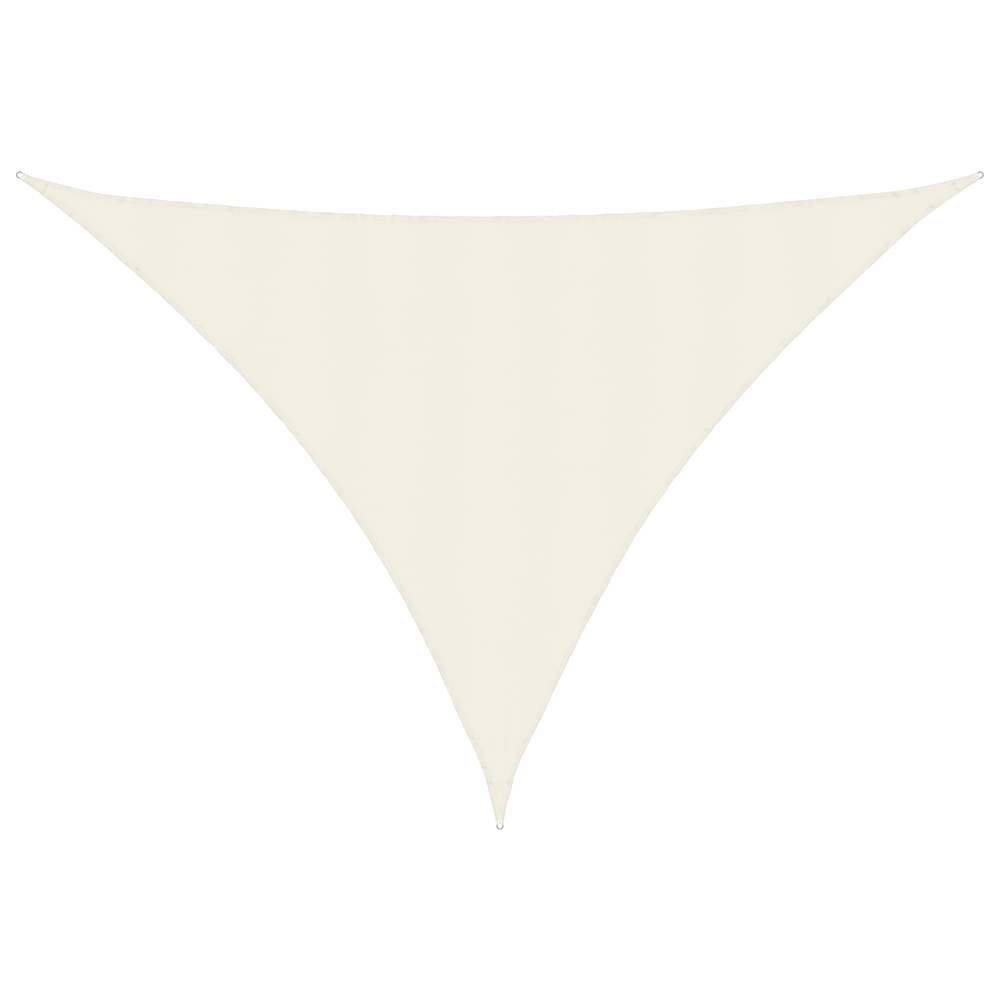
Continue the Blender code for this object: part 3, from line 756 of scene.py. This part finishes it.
def patch_height(far, left, corner, sizes):
    """The patch's underside: just over the hem or the single cloth, and raised in two smooth
    ridges over the webbing."""
    low, high = cloth_sides(corner, far)
    room = np.minimum(high - left, left - low)
    covered = web_cover(far, left, corner)
    hem = np.maximum(1 - smooth_step((room - sizes.hem_width) / HEM_RAMP), covered)
    crown = max(height for _, height in HEM_SECTION) * sizes.hem_thick
    base = sizes.cloth_thick + hem * (crown - sizes.cloth_thick) + GAP
    raised = covered * (sizes.hem_thick + 2 * (GAP + WEB_THICK) - crown)
    at = from_corner(far, left, 0.0, corner)
    lift = cloth_lift(at[..., 0], at[..., 1])
    return base + raised + lift + corner_ridges(far, left, corner)


def painted_patch_shade(far, left, corner, sizes):
    """Painted shade on the patch: along its sides, at its inner edge, and round the tacks."""
    shade = PATCH_END_PAINTED_SHADE * bell((PATCH_REACH[corner] - far) / RIM_FADE)
    for edge in edges_at(corner):
        depth = np.abs(left - cloth_side(corner, edge, far))
        shade = shade + PATCH_RIM_GAIN * painted_rim_shade(edge, depth)
    return shade + painted_tack_shade(far, left, corner, sizes)


def build_patch(corner, sizes, material):
    """A thin closed sheet over the corner: a grid of distances from the ring by places from one
    edge to the other, closer together at the edges by a sine, and lifted by the patch's height."""
    rows, columns = PATCH_GRID
    start, end = CLOTH_REACH[corner] + PATCH_INSET, PATCH_REACH[corner]
    across = np.sin(np.linspace(-0.5, 0.5, columns) * math.pi)[None, :]
    share = np.linspace(0.0, 1.0, rows)[:, None]
    far = start + (end - start - PATCH_BOW[corner] * (1 - across ** 2)) * share
    low, high = cloth_sides(corner, far)
    left = (low + high) / 2 + across * ((high - low) / 2 - PATCH_INSET)
    under = patch_height(far, left, corner, sizes)
    layers = [from_corner(far, left, under + lift, corner) for lift in (PATCH_THICK, 0.0)]
    shade = painted_patch_shade(far, left, corner, sizes)
    count = rows * columns
    faces = grid_faces(rows, columns) + grid_faces(rows, columns, count)
    at = np.arange(count).reshape(rows, columns)
    rim = np.concatenate([at[0, :-1], at[:-1, -1], at[-1, :0:-1], at[:0:-1, 0]])
    after = np.roll(rim, -1)
    faces += np.stack([rim, after, after + count, rim + count], axis=-1).tolist()
    piece = make_piece(f"corner_patch_{corner}_fine", np.stack(layers), faces, material,
                       np.stack([shade, shade]))
    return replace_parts(piece, f"corner_patch_{corner}")


# ---------------------------------------------------------------- the webbing loops
def web_path(corner, side, share, steps):
    """The middle of the webbing at one share of its width: straight in over the cloth, round the
    wire's inner side on a circle, and straight back under itself."""
    around = side * (WEB_FIRST_ANGLE + (WEB_LAST_ANGLE - WEB_FIRST_ANGLE) * share)
    outwards = np.array([math.cos(around) * math.cos(RING_TILT), math.sin(around),
                         math.cos(around) * math.sin(RING_TILT)])
    upwards = np.array([-math.sin(RING_TILT), 0.0, math.cos(RING_TILT)])
    wire = outwards * RING_MID + np.array([0.0, 0.0, RING_LEVEL])
    radius = RING_WIRE / 2 + WIRE_GAP + WEB_THICK / 2
    angles = np.radians(np.linspace(*WEB_WRAP, steps))[:, None]
    loop = wire + (outwards * np.cos(angles) + upwards * np.sin(angles)) * radius
    far = CLOTH_REACH[corner] + np.array([WEB_TAIL, WEB_TAIL / 2, *WEB_LEAVE])
    middle = web_middle(far, corner, side) + side * (share - 0.5) * WEB_WIDTH
    level = HEM_LEVEL + GAP + WEB_THICK + GAP / 2
    layer = (GAP + WEB_THICK) / 2
    upper = np.stack([far, middle, np.full(len(far), level + layer)], axis=1)
    lower = upper * (1, 1, 0) + (0, 0, level - layer)
    return np.vstack([upper, loop, lower[::-1]])


def build_web(corner, side, material):
    """A strip carried along the loop's path, as thick as the webbing in its middle and thinner at
    its selvedges by the eighth power of the place across."""
    columns, steps = WEB_GRID
    shares = np.linspace(0.0, 1.0, columns)
    path = np.array([web_path(corner, side, share, steps) for share in shares])
    along = np.gradient(path, axis=1)
    normal = np.cross(along, np.gradient(path, axis=0))
    normal *= side / np.linalg.norm(normal, axis=2)[:, :, None]
    selvedge = (2 * shares - 1) ** SELVEDGE_POWER
    half = (WEB_THICK / 2 * (1 - SELVEDGE_THINNING * selvedge))[:, None, None] * normal
    profile = np.concatenate([path + half, (path - half)[::-1]])
    around, length, _ = profile.shape
    ends = np.arange(around * length).reshape(around, length)[:, [0, -1]]
    back = ends[:columns - 1:-1]
    caps = [ends[:columns - 1], ends[1:columns], back[1:], back[:-1]]
    faces = grid_faces(around, length, close=True)
    faces += np.stack(caps, axis=-1).reshape(-1, 4).tolist()
    reach = np.cumsum(np.linalg.norm(along, axis=2), axis=1)
    place = np.stack([reach, np.broadcast_to(shares[:, None] * WEB_WIDTH, reach.shape)], axis=-1)
    # Painted shade on the outer half, where the webbing turns down round the ring, and along the inner
    # selvedge, in the gap between the loops.
    shade = WEB_OUTER_PAINTED_SHADE * smooth_step(shares / WEB_OUTER_START - 1)
    shade += WEB_INNER_PAINTED_SHADE * bell(shares / WEB_INNER_SPREAD)
    shade = np.broadcast_to(shade[:, None], reach.shape)
    name = f"webbing_loop_{corner}_{1 if side < 0 else 2}"
    piece = make_piece(
        f"{name}_fine", from_corner(profile[..., 0], profile[..., 1], profile[..., 2], corner),
        faces, material, np.concatenate([shade, shade[::-1]]),
        np.concatenate([place, place[::-1]]))
    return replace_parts(piece, name)


# ---------------------------------------------------------------- the rings
def build_ring(corner, material):
    """A welded ring: a circle of wire carried round a larger circle, tilted up towards the cloth,
    where its two ends are welded with a bead that fades from its outer side to its inner side by
    a cosine, and a groove either side of it. The bead leaves the wire's lower half no deeper, so
    that the ring lies flat."""
    rows, columns = RING_GRID
    _, into, left = corner_frame(corner)
    way = np.array(WELD_WAY[corner])
    weld = math.atan2(way @ left, way @ into)
    around = np.linspace(0.0, 2 * math.pi, rows, endpoint=False)[:, None]
    section = np.linspace(0.0, 2 * math.pi, columns, endpoint=False)[None, :]
    off = np.angle(np.exp(1j * (around - weld)))
    bead = WELD_BEAD[corner] * bell(off / WELD_WIDTH) * (1 + np.cos(section)) / 2
    groove = GROOVE_DEPTH * bell((np.abs(off) - GROOVE_AT * WELD_WIDTH) / GROOVE_WIDTH)
    radius = RING_WIRE / 2 * (1 + bead - groove)
    out = RING_MID + radius * np.cos(section)
    x, y = out * np.cos(around), out * np.sin(around)
    z = np.where(section < math.pi, radius, RING_WIRE / 2) * np.sin(section)
    far = x * math.cos(RING_TILT) - z * math.sin(RING_TILT)
    level = x * math.sin(RING_TILT) + z * math.cos(RING_TILT) + RING_LEVEL
    i, j = np.meshgrid(np.arange(rows), np.arange(columns), indexing="ij")
    i2, j2 = (i + 1) % rows, (j + 1) % columns
    faces = np.stack([i * columns + j, i2 * columns + j, i2 * columns + j2, i * columns + j2], -1)
    dull = np.broadcast_to(WELD_BEAD[corner] * bell(off / (WELD_DULLNESS * WELD_WIDTH)), x.shape)
    piece = make_piece(f"ring_{corner}_fine", from_corner(far, y, level, corner),
                       faces.reshape(-1, 4).tolist(), material, dull)
    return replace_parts(piece, f"ring_{corner}")


# ---------------------------------------------------------------- stitches
def stitches_on(line, sizes, pitch=None):
    """Starts and ends of the stitches along a line, by arc length. A pitch other than the usual
    one takes a stitch of the same share of it."""
    length = np.concatenate([[0.0], np.cumsum(np.linalg.norm(np.diff(line, axis=0), axis=1))])
    pitch = pitch or sizes.stitch_pitch
    thread = pitch * sizes.stitch_length / sizes.stitch_pitch
    at = np.arange(0.0, length[-1] - thread, pitch)
    return [np.stack([np.interp(at + shift, length, line[:, k]) for k in range(3)], axis=1)
            for shift in (0.0, thread)]


def build_stitches(name, lines, sizes, material):
    """Many short threads: each a four-sided section carried along a low arch from start to end,
    thinner where it enters the cloth."""
    starts, ends = (np.vstack(part) for part in zip(*lines))
    share = np.array([0.0, 0.2, 0.8, 1.0])
    swell = np.array([0.3, 1.0, 1.0, 0.3])
    arch = np.array([-0.5, 0.35, 0.35, -0.5])
    along = ends - starts
    forward = along / np.linalg.norm(along, axis=1)[:, None]
    up = np.array([0.0, 0.0, 1.0])
    aside = np.cross(up, forward)
    middle = starts[:, None] + along[:, None] * share[:, None]
    middle = middle + up * (arch * sizes.thread_thick)[:, None]
    turn = np.radians([45, 135, 225, 315])[:, None]
    offset = np.cos(turn) * aside[:, None] + np.sin(turn) * up
    verts = middle[:, :, None] + offset[:, None] * (swell * sizes.thread_thick / 2)[:, None, None]
    count, rings, sides, _ = verts.shape
    i, j = np.meshgrid(np.arange(rings - 1), np.arange(sides), indexing="ij")
    j2 = (j + 1) % sides
    tube = np.stack([i * sides + j, i * sides + j2, (i + 1) * sides + j2, (i + 1) * sides + j], -1)
    caps = np.array([[3, 2, 1, 0], [0, 1, 2, 3] + np.array((rings - 1) * sides)])
    one = np.concatenate([tube.reshape(-1, 4), caps])
    faces = one[None] + (np.arange(count) * rings * sides)[:, None, None]
    return make_piece(name, verts, faces.reshape(-1, 4).tolist(), material)


def hem_stitch_lines(sizes):
    """The row of stitches along the hem of each edge, from patch to patch."""
    lines = []
    for edge in EDGES:
        line = strip_grid(edge, EDGE_COLUMNS * FINE_COLUMNS, [STITCH_ROW], sizes)[0][0]
        away = [np.hypot(*(line[:, :2] - RING_AT[corner]).T) - PATCH_REACH[corner]
                for corner in edge]
        lines.append(stitches_on(line[np.min(away, axis=0) > SEAM_PARTING], sizes))
    return lines


def patch_stitch_lines(corner, sizes):
    """Rows along the patch's sides and its inner edge, a box with a cross over each webbing tail,
    and a short close tack at each end of the inner seam."""
    start, end = CLOTH_REACH[corner] + SIDE_SEAM, PATCH_REACH[corner]
    share = np.linspace(0.0, 1.0, ROW_POINTS)
    far = start + (end - SEAM_PARTING - start) * share
    low, high = cloth_sides(corner, far)
    rows = [(far, low + SIDE_SEAM, None), (far, high - SIDE_SEAM, None)]
    across = 2 * share - 1
    for inset in END_SEAMS:
        far = end - inset - PATCH_BOW[corner] * (1 - across ** 2)
        low, high = cloth_sides(corner, far)
        rows.append((far, (low + high) / 2 + across * ((high - low) / 2 - SIDE_SEAM), None))
    near = CLOTH_REACH[corner] + BOX_INSETS[0]
    past = CLOTH_REACH[corner] + WEB_TAIL - BOX_INSETS[1]
    for side in (-1, 1):
        for ends in (((near, -1), (past, -1)), ((past, -1), (past, 1)), ((past, 1), (near, 1)),
                     ((near, 1), (near, -1)), ((near, -1), (past, 1)), ((past, -1), (near, 1))):
            (far0, way0), (far1, way1) = ends
            far = far0 + (far1 - far0) * share
            left = web_middle(far, corner, side) + (way0 + (way1 - way0) * share) * BOX_HALF
            rows.append((far, left, None))
    for tack_far, tack_left in tack_places(corner, sizes):
        zigzag = tack_left + TACK_HALF * np.sign(np.sin(2 * math.pi * TACK_TURNS * share))
        rows.append((tack_far - TACK_START + TACK_LENGTH * share, zigzag, TACK_PITCH))
    lines = []
    for far, left, pitch in rows:
        top = patch_height(far, left, corner, sizes) + PATCH_THICK
        lines.append(stitches_on(from_corner(far, left, top, corner), sizes, pitch))
    return lines


# ================================================================ materials
class Nodes:
    """Adds and links shader nodes in one tree."""

    def __init__(self, tree):
        self.tree = tree

    def add(self, kind, inputs=(), **settings):
        """Adds a node; inputs are (socket, value or output) pairs."""
        new = self.tree.nodes.new(kind)
        for key, value in settings.items():
            setattr(new, key, value)
        for socket, value in inputs:
            if isinstance(value, bpy.types.NodeSocket):
                self.tree.links.new(value, new.inputs[socket])
            else:
                new.inputs[socket].default_value = value
        return new

    def math(self, operation, *values):
        """A Math node's output for these values."""
        return self.add("ShaderNodeMath", enumerate(values), operation=operation).outputs[0]

    def line(self, value, slope, base):
        """The value times the slope, plus the base."""
        return self.math("MULTIPLY_ADD", value, slope, base)

    def wave(self, value, low, high):
        """A cosine of the value, between low and high."""
        return self.line(self.math("COSINE", value), (high - low) / 2, (low + high) / 2)

    def fade(self, value, start, end, **settings):
        """1 where the value is at its start, down to 0 where it is at its end."""
        inputs = [("Value", value), ("From Min", start), ("From Max", end),
                  ("To Min", 1.0), ("To Max", 0.0)]
        return self.add("ShaderNodeMapRange", inputs, **settings).outputs[0]

    def scaled(self, colour, factor):
        """A constant colour times a mask."""
        return self.add("ShaderNodeVectorMath", [(0, colour), ("Scale", factor)],
                        operation="SCALE").outputs[0]

    def noise(self, vector, scale, detail, roughness=0.5):
        """A noise between 0 and 1 that changes with the vector."""
        inputs = [("Vector", vector), ("Scale", scale), ("Detail", detail), ("Roughness", roughness)]
        return self.add("ShaderNodeTexNoise", inputs).outputs["Fac"]

    def stretched(self, vector, factors):
        """The vector with each of its parts times its own factor."""
        return self.add("ShaderNodeVectorMath", [(0, vector), (1, factors)],
                        operation="MULTIPLY").outputs[0]

    def bump(self, height, strength, distance):
        """A normal that stands in for low relief of this height."""
        return self.add("ShaderNodeBump", [("Height", height), ("Strength", strength),
                                           ("Distance", distance)]).outputs[0]

    def split(self, vector):
        """The vector's parts, by name."""
        return self.add("ShaderNodeSeparateXYZ", [(0, vector)]).outputs

    def place(self):
        """Where on the piece a point is, in metres."""
        return self.add("ShaderNodeTexCoord").outputs["Object"]

    def strip(self):
        """Where on the piece's strip a point is, in metres along and across it."""
        return self.add("ShaderNodeUVMap", uv_map="strip").outputs[0]

    def shade(self):
        """The number that the piece holds at a point as its shade: painted shade, painted highlight
        and darker tone on cloth and webbing, and the weld's dullness on a ring.
        """
        return self.add("ShaderNodeAttribute", attribute_name="shade").outputs["Fac"]

    def give(self, sockets, **values):
        """Links each output to the socket of its name."""
        for title, value in values.items():
            self.tree.links.new(value, sockets[title.replace("_", " ")])


def new_group(name, inputs, outputs):
    """An empty shader node group with these (name, socket type, default) inputs and outputs."""
    group = bpy.data.node_groups.new(name, "ShaderNodeTree")
    for title, kind, default in inputs:
        socket = group.interface.new_socket(title, in_out="INPUT", socket_type=kind)
        if default is not None:
            socket.default_value = default
    for title in outputs:
        group.interface.new_socket(title, in_out="OUTPUT", socket_type="NodeSocketFloat")
    nodes = Nodes(group)
    return group, nodes, nodes.add("NodeGroupInput").outputs, nodes.add("NodeGroupOutput").inputs


def knit_group():
    """Warp knit: chains of loops in columns, with slanting tapes laid between them.

    Chains are a cosine across the columns, raised to a power, and tapes a cosine along them whose
    phase goes to and fro from column to column. The higher of the two is the height, and where
    both are low is a gap. Streaks are a noise drawn out along the rows.
    """
    group, n, given, out = new_group(
        "Knitted cloth",
        [("Vector", "NodeSocketVector", None), ("Wale Spacing", "NodeSocketFloat", WALE_SPACING),
         ("Course Spacing", "NodeSocketFloat", COURSE_SPACING), ("Wander", "NodeSocketFloat", 0.3)],
        ("Height", "Gaps", "Streaks"))
    split = n.split(given["Vector"])
    drift = n.math("SUBTRACT", n.noise(given["Vector"], scale=35.0, detail=2.0), 0.5)
    drift = n.math("MULTIPLY", drift, given["Wander"])
    column = n.math("ADD", n.math("DIVIDE", split["X"], given["Wale Spacing"]), drift)
    course = n.math("ADD", n.math("DIVIDE", split["Y"], given["Course Spacing"]), drift)
    chain = n.math("ABSOLUTE", n.wave(n.math("MULTIPLY", column, math.pi), low=-1, high=1))
    chain = n.math("POWER", chain, 3)
    loops = n.wave(n.math("MULTIPLY", course, 2 * math.pi), low=0.6, high=1.0)
    slant = n.line(n.math("PINGPONG", column, 1.0), slope=0.5, base=course)
    tapes = n.wave(n.math("MULTIPLY", slant, 2 * math.pi), low=0.0, high=0.76)
    height = n.math("MAXIMUM", n.math("MULTIPLY", chain, loops), tapes)
    streaks = n.noise(n.stretched(given["Vector"], (0.9, 55.0, 1.0)), scale=1.0, detail=3.0,
                      roughness=0.6)
    n.give(out, Height=height, Gaps=n.fade(height, start=0.10, end=0.45), Streaks=streaks)
    return group


def tone_group():
    """Slow drift of tone: broad soft patches from a noise, and painted light and shade in upright
    bands, between the folds left from packing, from a cosine across the sail."""
    group, n, given, out = new_group(
        "Tone drift",
        [("Vector", "NodeSocketVector", None), ("Scale", "NodeSocketFloat", 1.4),
         ("Band Spacing", "NodeSocketFloat", BAND_SPACING)],
        ("Tone", "Band"))
    tone = n.noise(given["Vector"], given["Scale"], detail=3.0, roughness=0.55)
    across = n.math("SUBTRACT", n.split(given["Vector"])["X"], BAND_MIDDLE)
    across = n.math("DIVIDE", across, given["Band Spacing"])
    band = n.wave(n.math("MULTIPLY", across, 2 * math.pi), low=0.0, high=1.0)
    n.give(out, Tone=tone, Band=band)
    return group


def placed_group(n, name, make, vector, **values):
    """A group's node in a material, made on first use."""
    group = bpy.data.node_groups.get(name) or make()
    inputs = [("Vector", vector), *((key.replace("_", " "), value) for key, value in values.items())]
    return n.add("ShaderNodeGroup", inputs, node_tree=group)


def new_material(name):
    """A new material, its helper and its Principled shader's inputs."""
    material = bpy.data.materials.new(name)
    material.use_nodes = True
    nodes = Nodes(material.node_tree)
    return material, nodes, material.node_tree.nodes["Principled BSDF"].inputs


def cloth_material(name, colour, sizes, hem):
    """Matt knitted cloth: its tone drifts slowly and in streaks, with painted light and shade in bands
    between the packing folds, and darkens by the painted shade and tone that the piece holds and by
    painted shade in the gaps of the knit. The knit's height gives the bump, with fine gathers along a
    hem."""
    material, n, shader = new_material(name)
    where = n.place()
    knit = placed_group(n, "Knitted cloth", knit_group, where, Wale_Spacing=sizes.wale_spacing,
                        Course_Spacing=sizes.course_spacing).outputs
    drift = placed_group(n, "Tone drift", tone_group, where).outputs
    tone = CLOTH_TONE
    for masks, parts in ((drift, DRIFT_TONES), (knit, KNIT_TONES)):
        for title, part in parts.items():
            tone = n.line(masks[title], slope=part, base=tone)
    height = knit["Height"]
    rough = n.line(height, slope=-0.12, base=0.82)
    if hem:
        strip = n.strip()
        from_seam = n.math("SUBTRACT", n.split(strip)["Y"], seam_depth(sizes))
        near = n.fade(n.math("ABSOLUTE", from_seam), start=0.0, end=HEM_GATHER_REACH,
                      interpolation_type="SMOOTHSTEP")
        gathers = n.noise(n.stretched(strip, HEM_GATHERS), scale=1.0, detail=2.0)
        height = n.line(n.math("MULTIPLY", near, gathers), slope=HEM_GATHER_HEIGHT, base=height)
    shader["Specular IOR Level"].default_value = 0.2
    n.give(shader, Base_Color=n.scaled(colour, n.math("SUBTRACT", tone, n.shade())),
           Roughness=rough, Normal=n.bump(height, strength=0.4, distance=0.0006))
    return material


def webbing_material(colour):
    """White woven webbing on the strip's own map: ribs along it, and picks across it that step from
    rib to rib, lighter where the weave stands high, with painted shade in its hollows. Painted shade
    greys its outer half, where it turns down round the ring, and its inner selvedge, in the gap
    between the two loops."""
    material, n, shader = new_material("woven_webbing")
    split = n.split(n.strip())
    along = n.math("MULTIPLY", split["X"], 2 * math.pi / PICK_SPACING)
    rib = n.math("DIVIDE", split["Y"], RIB_SPACING)
    phase = n.line(n.math("ROUND", rib), slope=math.pi, base=along)
    ribs = n.wave(n.math("MULTIPLY", rib, 2 * math.pi), low=0.0, high=1.0)
    height = n.math("MULTIPLY", ribs, n.wave(phase, low=0.4, high=1.0))
    tone = n.math("SUBTRACT", n.line(height, slope=0.14, base=0.93), n.shade())
    n.give(shader, Base_Color=n.scaled(colour, tone),
           Roughness=n.line(height, slope=-0.15, base=0.72),
           Normal=n.bump(height, strength=0.7, distance=0.0003))
    return material


def thread_material(colour):
    """Twisted thread: a fine noise in tone and bump."""
    material, n, shader = new_material("sewing_thread")
    twist = n.noise(n.place(), scale=900.0, detail=1.0)
    n.give(shader, Base_Color=n.scaled(colour, n.line(twist, slope=0.2, base=0.9)),
           Normal=n.bump(twist, strength=0.3, distance=0.0002))
    shader["Roughness"].default_value = 0.55
    return material


def steel_material(colour):
    """Polished wire: fine marks in tone, roughness and bump, and a paler, rougher weld."""
    material, n, shader = new_material("polished_steel")
    marks = n.noise(n.place(), scale=420.0, detail=4.0)
    weld = n.shade()
    tone = n.line(weld, slope=0.8, base=n.line(marks, slope=0.14, base=0.93))
    rough = n.line(weld, slope=0.2, base=n.line(marks, slope=0.16, base=0.14))
    n.give(shader, Base_Color=n.scaled(colour, tone), Roughness=rough,
           Normal=n.bump(marks, strength=0.15, distance=0.0001))
    shader["Metallic"].default_value = 1.0
    return material


def floor_material(colour):
    """Plain pale studio floor."""
    material, _, shader = new_material("studio_floor")
    shader["Base Color"].default_value = (*colour, 1.0)
    shader["Roughness"].default_value = 1.0
    shader["Specular IOR Level"].default_value = 0.0
    return material


# ================================================================ operators
class SAIL_OT_cloth(bpy.types.Operator):
    """Builds the sheet of cloth with its hem"""

    bl_idname = "sail.cloth"
    bl_label = "Cloth"

    def execute(self, context):
        scene = context.scene
        material = cloth_material("knitted_cloth", tuple(scene.sail_colours.cloth),
                                  scene.sail_sizes, hem=True)
        build_cloth(scene.sail_sizes, material)
        return {"FINISHED"}


class SAIL_OT_patches(bpy.types.Operator):
    """Builds the three corner patches"""

    bl_idname = "sail.patches"
    bl_label = "Corner patches"

    def execute(self, context):
        scene = context.scene
        material = cloth_material("patch_cloth", tuple(scene.sail_colours.patch),
                                  scene.sail_sizes, hem=False)
        for corner in CORNERS:
            build_patch(corner, scene.sail_sizes, material)
        return {"FINISHED"}


class SAIL_OT_webbing(bpy.types.Operator):
    """Builds the two webbing loops of each corner"""

    bl_idname = "sail.webbing"
    bl_label = "Webbing loops"

    def execute(self, context):
        material = webbing_material(tuple(context.scene.sail_colours.webbing))
        for corner in CORNERS:
            for side in (-1, 1):
                build_web(corner, side, material)
        return {"FINISHED"}


class SAIL_OT_rings(bpy.types.Operator):
    """Builds the three steel rings"""

    bl_idname = "sail.rings"
    bl_label = "Rings"

    def execute(self, context):
        material = steel_material(tuple(context.scene.sail_colours.steel))
        for corner in CORNERS:
            build_ring(corner, material)
        return {"FINISHED"}


class SAIL_OT_stitches(bpy.types.Operator):
    """Builds the stitches of the hem and of the corner patches"""

    bl_idname = "sail.stitches"
    bl_label = "Stitches"

    def execute(self, context):
        sizes = context.scene.sail_sizes
        material = thread_material(tuple(context.scene.sail_colours.thread))
        build_stitches("hem_stitches", hem_stitch_lines(sizes), sizes, material)
        for corner in CORNERS:
            build_stitches(f"patch_stitches_{corner}", patch_stitch_lines(corner, sizes), sizes,
                           material)
        return {"FINISHED"}


class SAIL_OT_declare(bpy.types.Operator):
    """Reads the cloth's box and the cloth's sides at each corner, and keeps nothing"""

    bl_idname = "sail.declare"
    bl_label = "Declare sheets"

    def execute(self, context):
        low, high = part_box("sail_cloth")
        for corner in CORNERS:
            far = np.linspace(CLOTH_REACH[corner], PATCH_REACH[corner], PATCH_CUTS)
            low, high = cloth_sides(corner, far)
        return {"FINISHED"}


class SAIL_OT_stage(bpy.types.Operator):
    """Builds the floor, the soft light and the camera above the sail"""

    bl_idname = "sail.stage"
    bl_label = "Stage"

    def execute(self, context):
        scene = context.scene
        build_floor(tuple(scene.sail_colours.floor))
        build_light(scene.sail_light)
        build_camera()
        return {"FINISHED"}


def build_floor(colour):
    """A plain square floor, just under the sail."""
    mesh = bpy.data.meshes.new("floor")
    corners = [(x * FLOOR_HALF, y * FLOOR_HALF, -GAP)
               for x, y in ((-1, -1), (1, -1), (1, 1), (-1, 1))]
    mesh.from_pydata(corners, [], [(0, 1, 2, 3)])
    mesh.materials.append(floor_material(colour))
    floor = bpy.data.objects.new("floor", mesh)
    bpy.context.scene.collection.objects.link(floor)


def build_light(light):
    """A broad soft lamp overhead, leaning to the left, and a dim even sky that the camera sees
    as white."""
    scene = bpy.context.scene
    world = bpy.data.worlds.new("even_sky")
    world.use_nodes = True
    n = Nodes(world.node_tree)
    seen = n.add("ShaderNodeLightPath").outputs["Is Camera Ray"]
    strength = n.math("MULTIPLY_ADD", seen, 1.0 - light.sky, light.sky)
    sky = world.node_tree.nodes["Background"].inputs
    sky["Color"].default_value = (1.0, 1.0, 1.0, 1.0)
    n.tree.links.new(strength, sky["Strength"])
    scene.world = world
    lamp = bpy.data.lights.new("broad_lamp", "SUN")
    lamp.energy = light.lamp
    lamp.angle = light.breadth
    holder = bpy.data.objects.new("broad_lamp", lamp)
    lean = math.sin(light.slant)
    towards = Vector((-lean, LAMP_TURN * lean, math.cos(light.slant)))
    holder.rotation_euler = towards.to_track_quat("Z", "Y").to_euler()
    scene.collection.objects.link(holder)


def build_camera():
    """A camera straight above, whose frame covers the photograph's width on the ground."""
    scene = bpy.context.scene
    lens = bpy.data.cameras.new("overhead")
    lens.sensor_width = SENSOR_MM
    lens.lens = SENSOR_MM * CAMERA_AT[2] / PHOTO_WIDTH_M
    lens.clip_end = 3 * FLOOR_HALF
    camera = bpy.data.objects.new("overhead", lens)
    camera.location = CAMERA_AT
    scene.collection.objects.link(camera)
    scene.camera = camera
    scene.view_settings.view_transform = "Standard"


class SAIL_PT_panel(bpy.types.Panel):
    """Lists the sail's settings and the operators that build it"""

    bl_idname = "SAIL_PT_panel"
    bl_label = "Shade Sail"
    bl_space_type = "VIEW_3D"
    bl_region_type = "UI"
    bl_category = "Shade Sail"

    def draw(self, context):
        for name, group in SETTINGS:
            box = self.layout.box()
            for setting in group.__annotations__:
                box.prop(getattr(context.scene, name), setting)
        for operator in OPERATORS:
            self.layout.operator(operator.bl_idname)


SETTINGS = (("sail_sizes", SailSizes), ("sail_colours", SailColours), ("sail_light", SailLight))
OPERATORS = (SAIL_OT_cloth, SAIL_OT_patches, SAIL_OT_webbing, SAIL_OT_rings, SAIL_OT_stitches,
             SAIL_OT_declare, SAIL_OT_stage)


def register():
    """Makes the settings, the operators and the panel known."""
    for name, group in SETTINGS:
        bpy.utils.register_class(group)
        setattr(bpy.types.Scene, name, PointerProperty(type=group))
    for operator in OPERATORS:
        bpy.utils.register_class(operator)
    bpy.utils.register_class(SAIL_PT_panel)


def unregister():
    """Takes them away again, the last one first."""
    bpy.utils.unregister_class(SAIL_PT_panel)
    for operator in reversed(OPERATORS):
        bpy.utils.unregister_class(operator)
    for name, group in reversed(SETTINGS):
        delattr(bpy.types.Scene, name)
        bpy.utils.unregister_class(group)


def main():
    """Builds the sail and its stage."""
    register()
    for name in ("cloth", "patches", "webbing", "rings", "stitches", "declare", "stage"):
        getattr(bpy.ops.sail, name)()


if __name__ == "__main__":
    main()
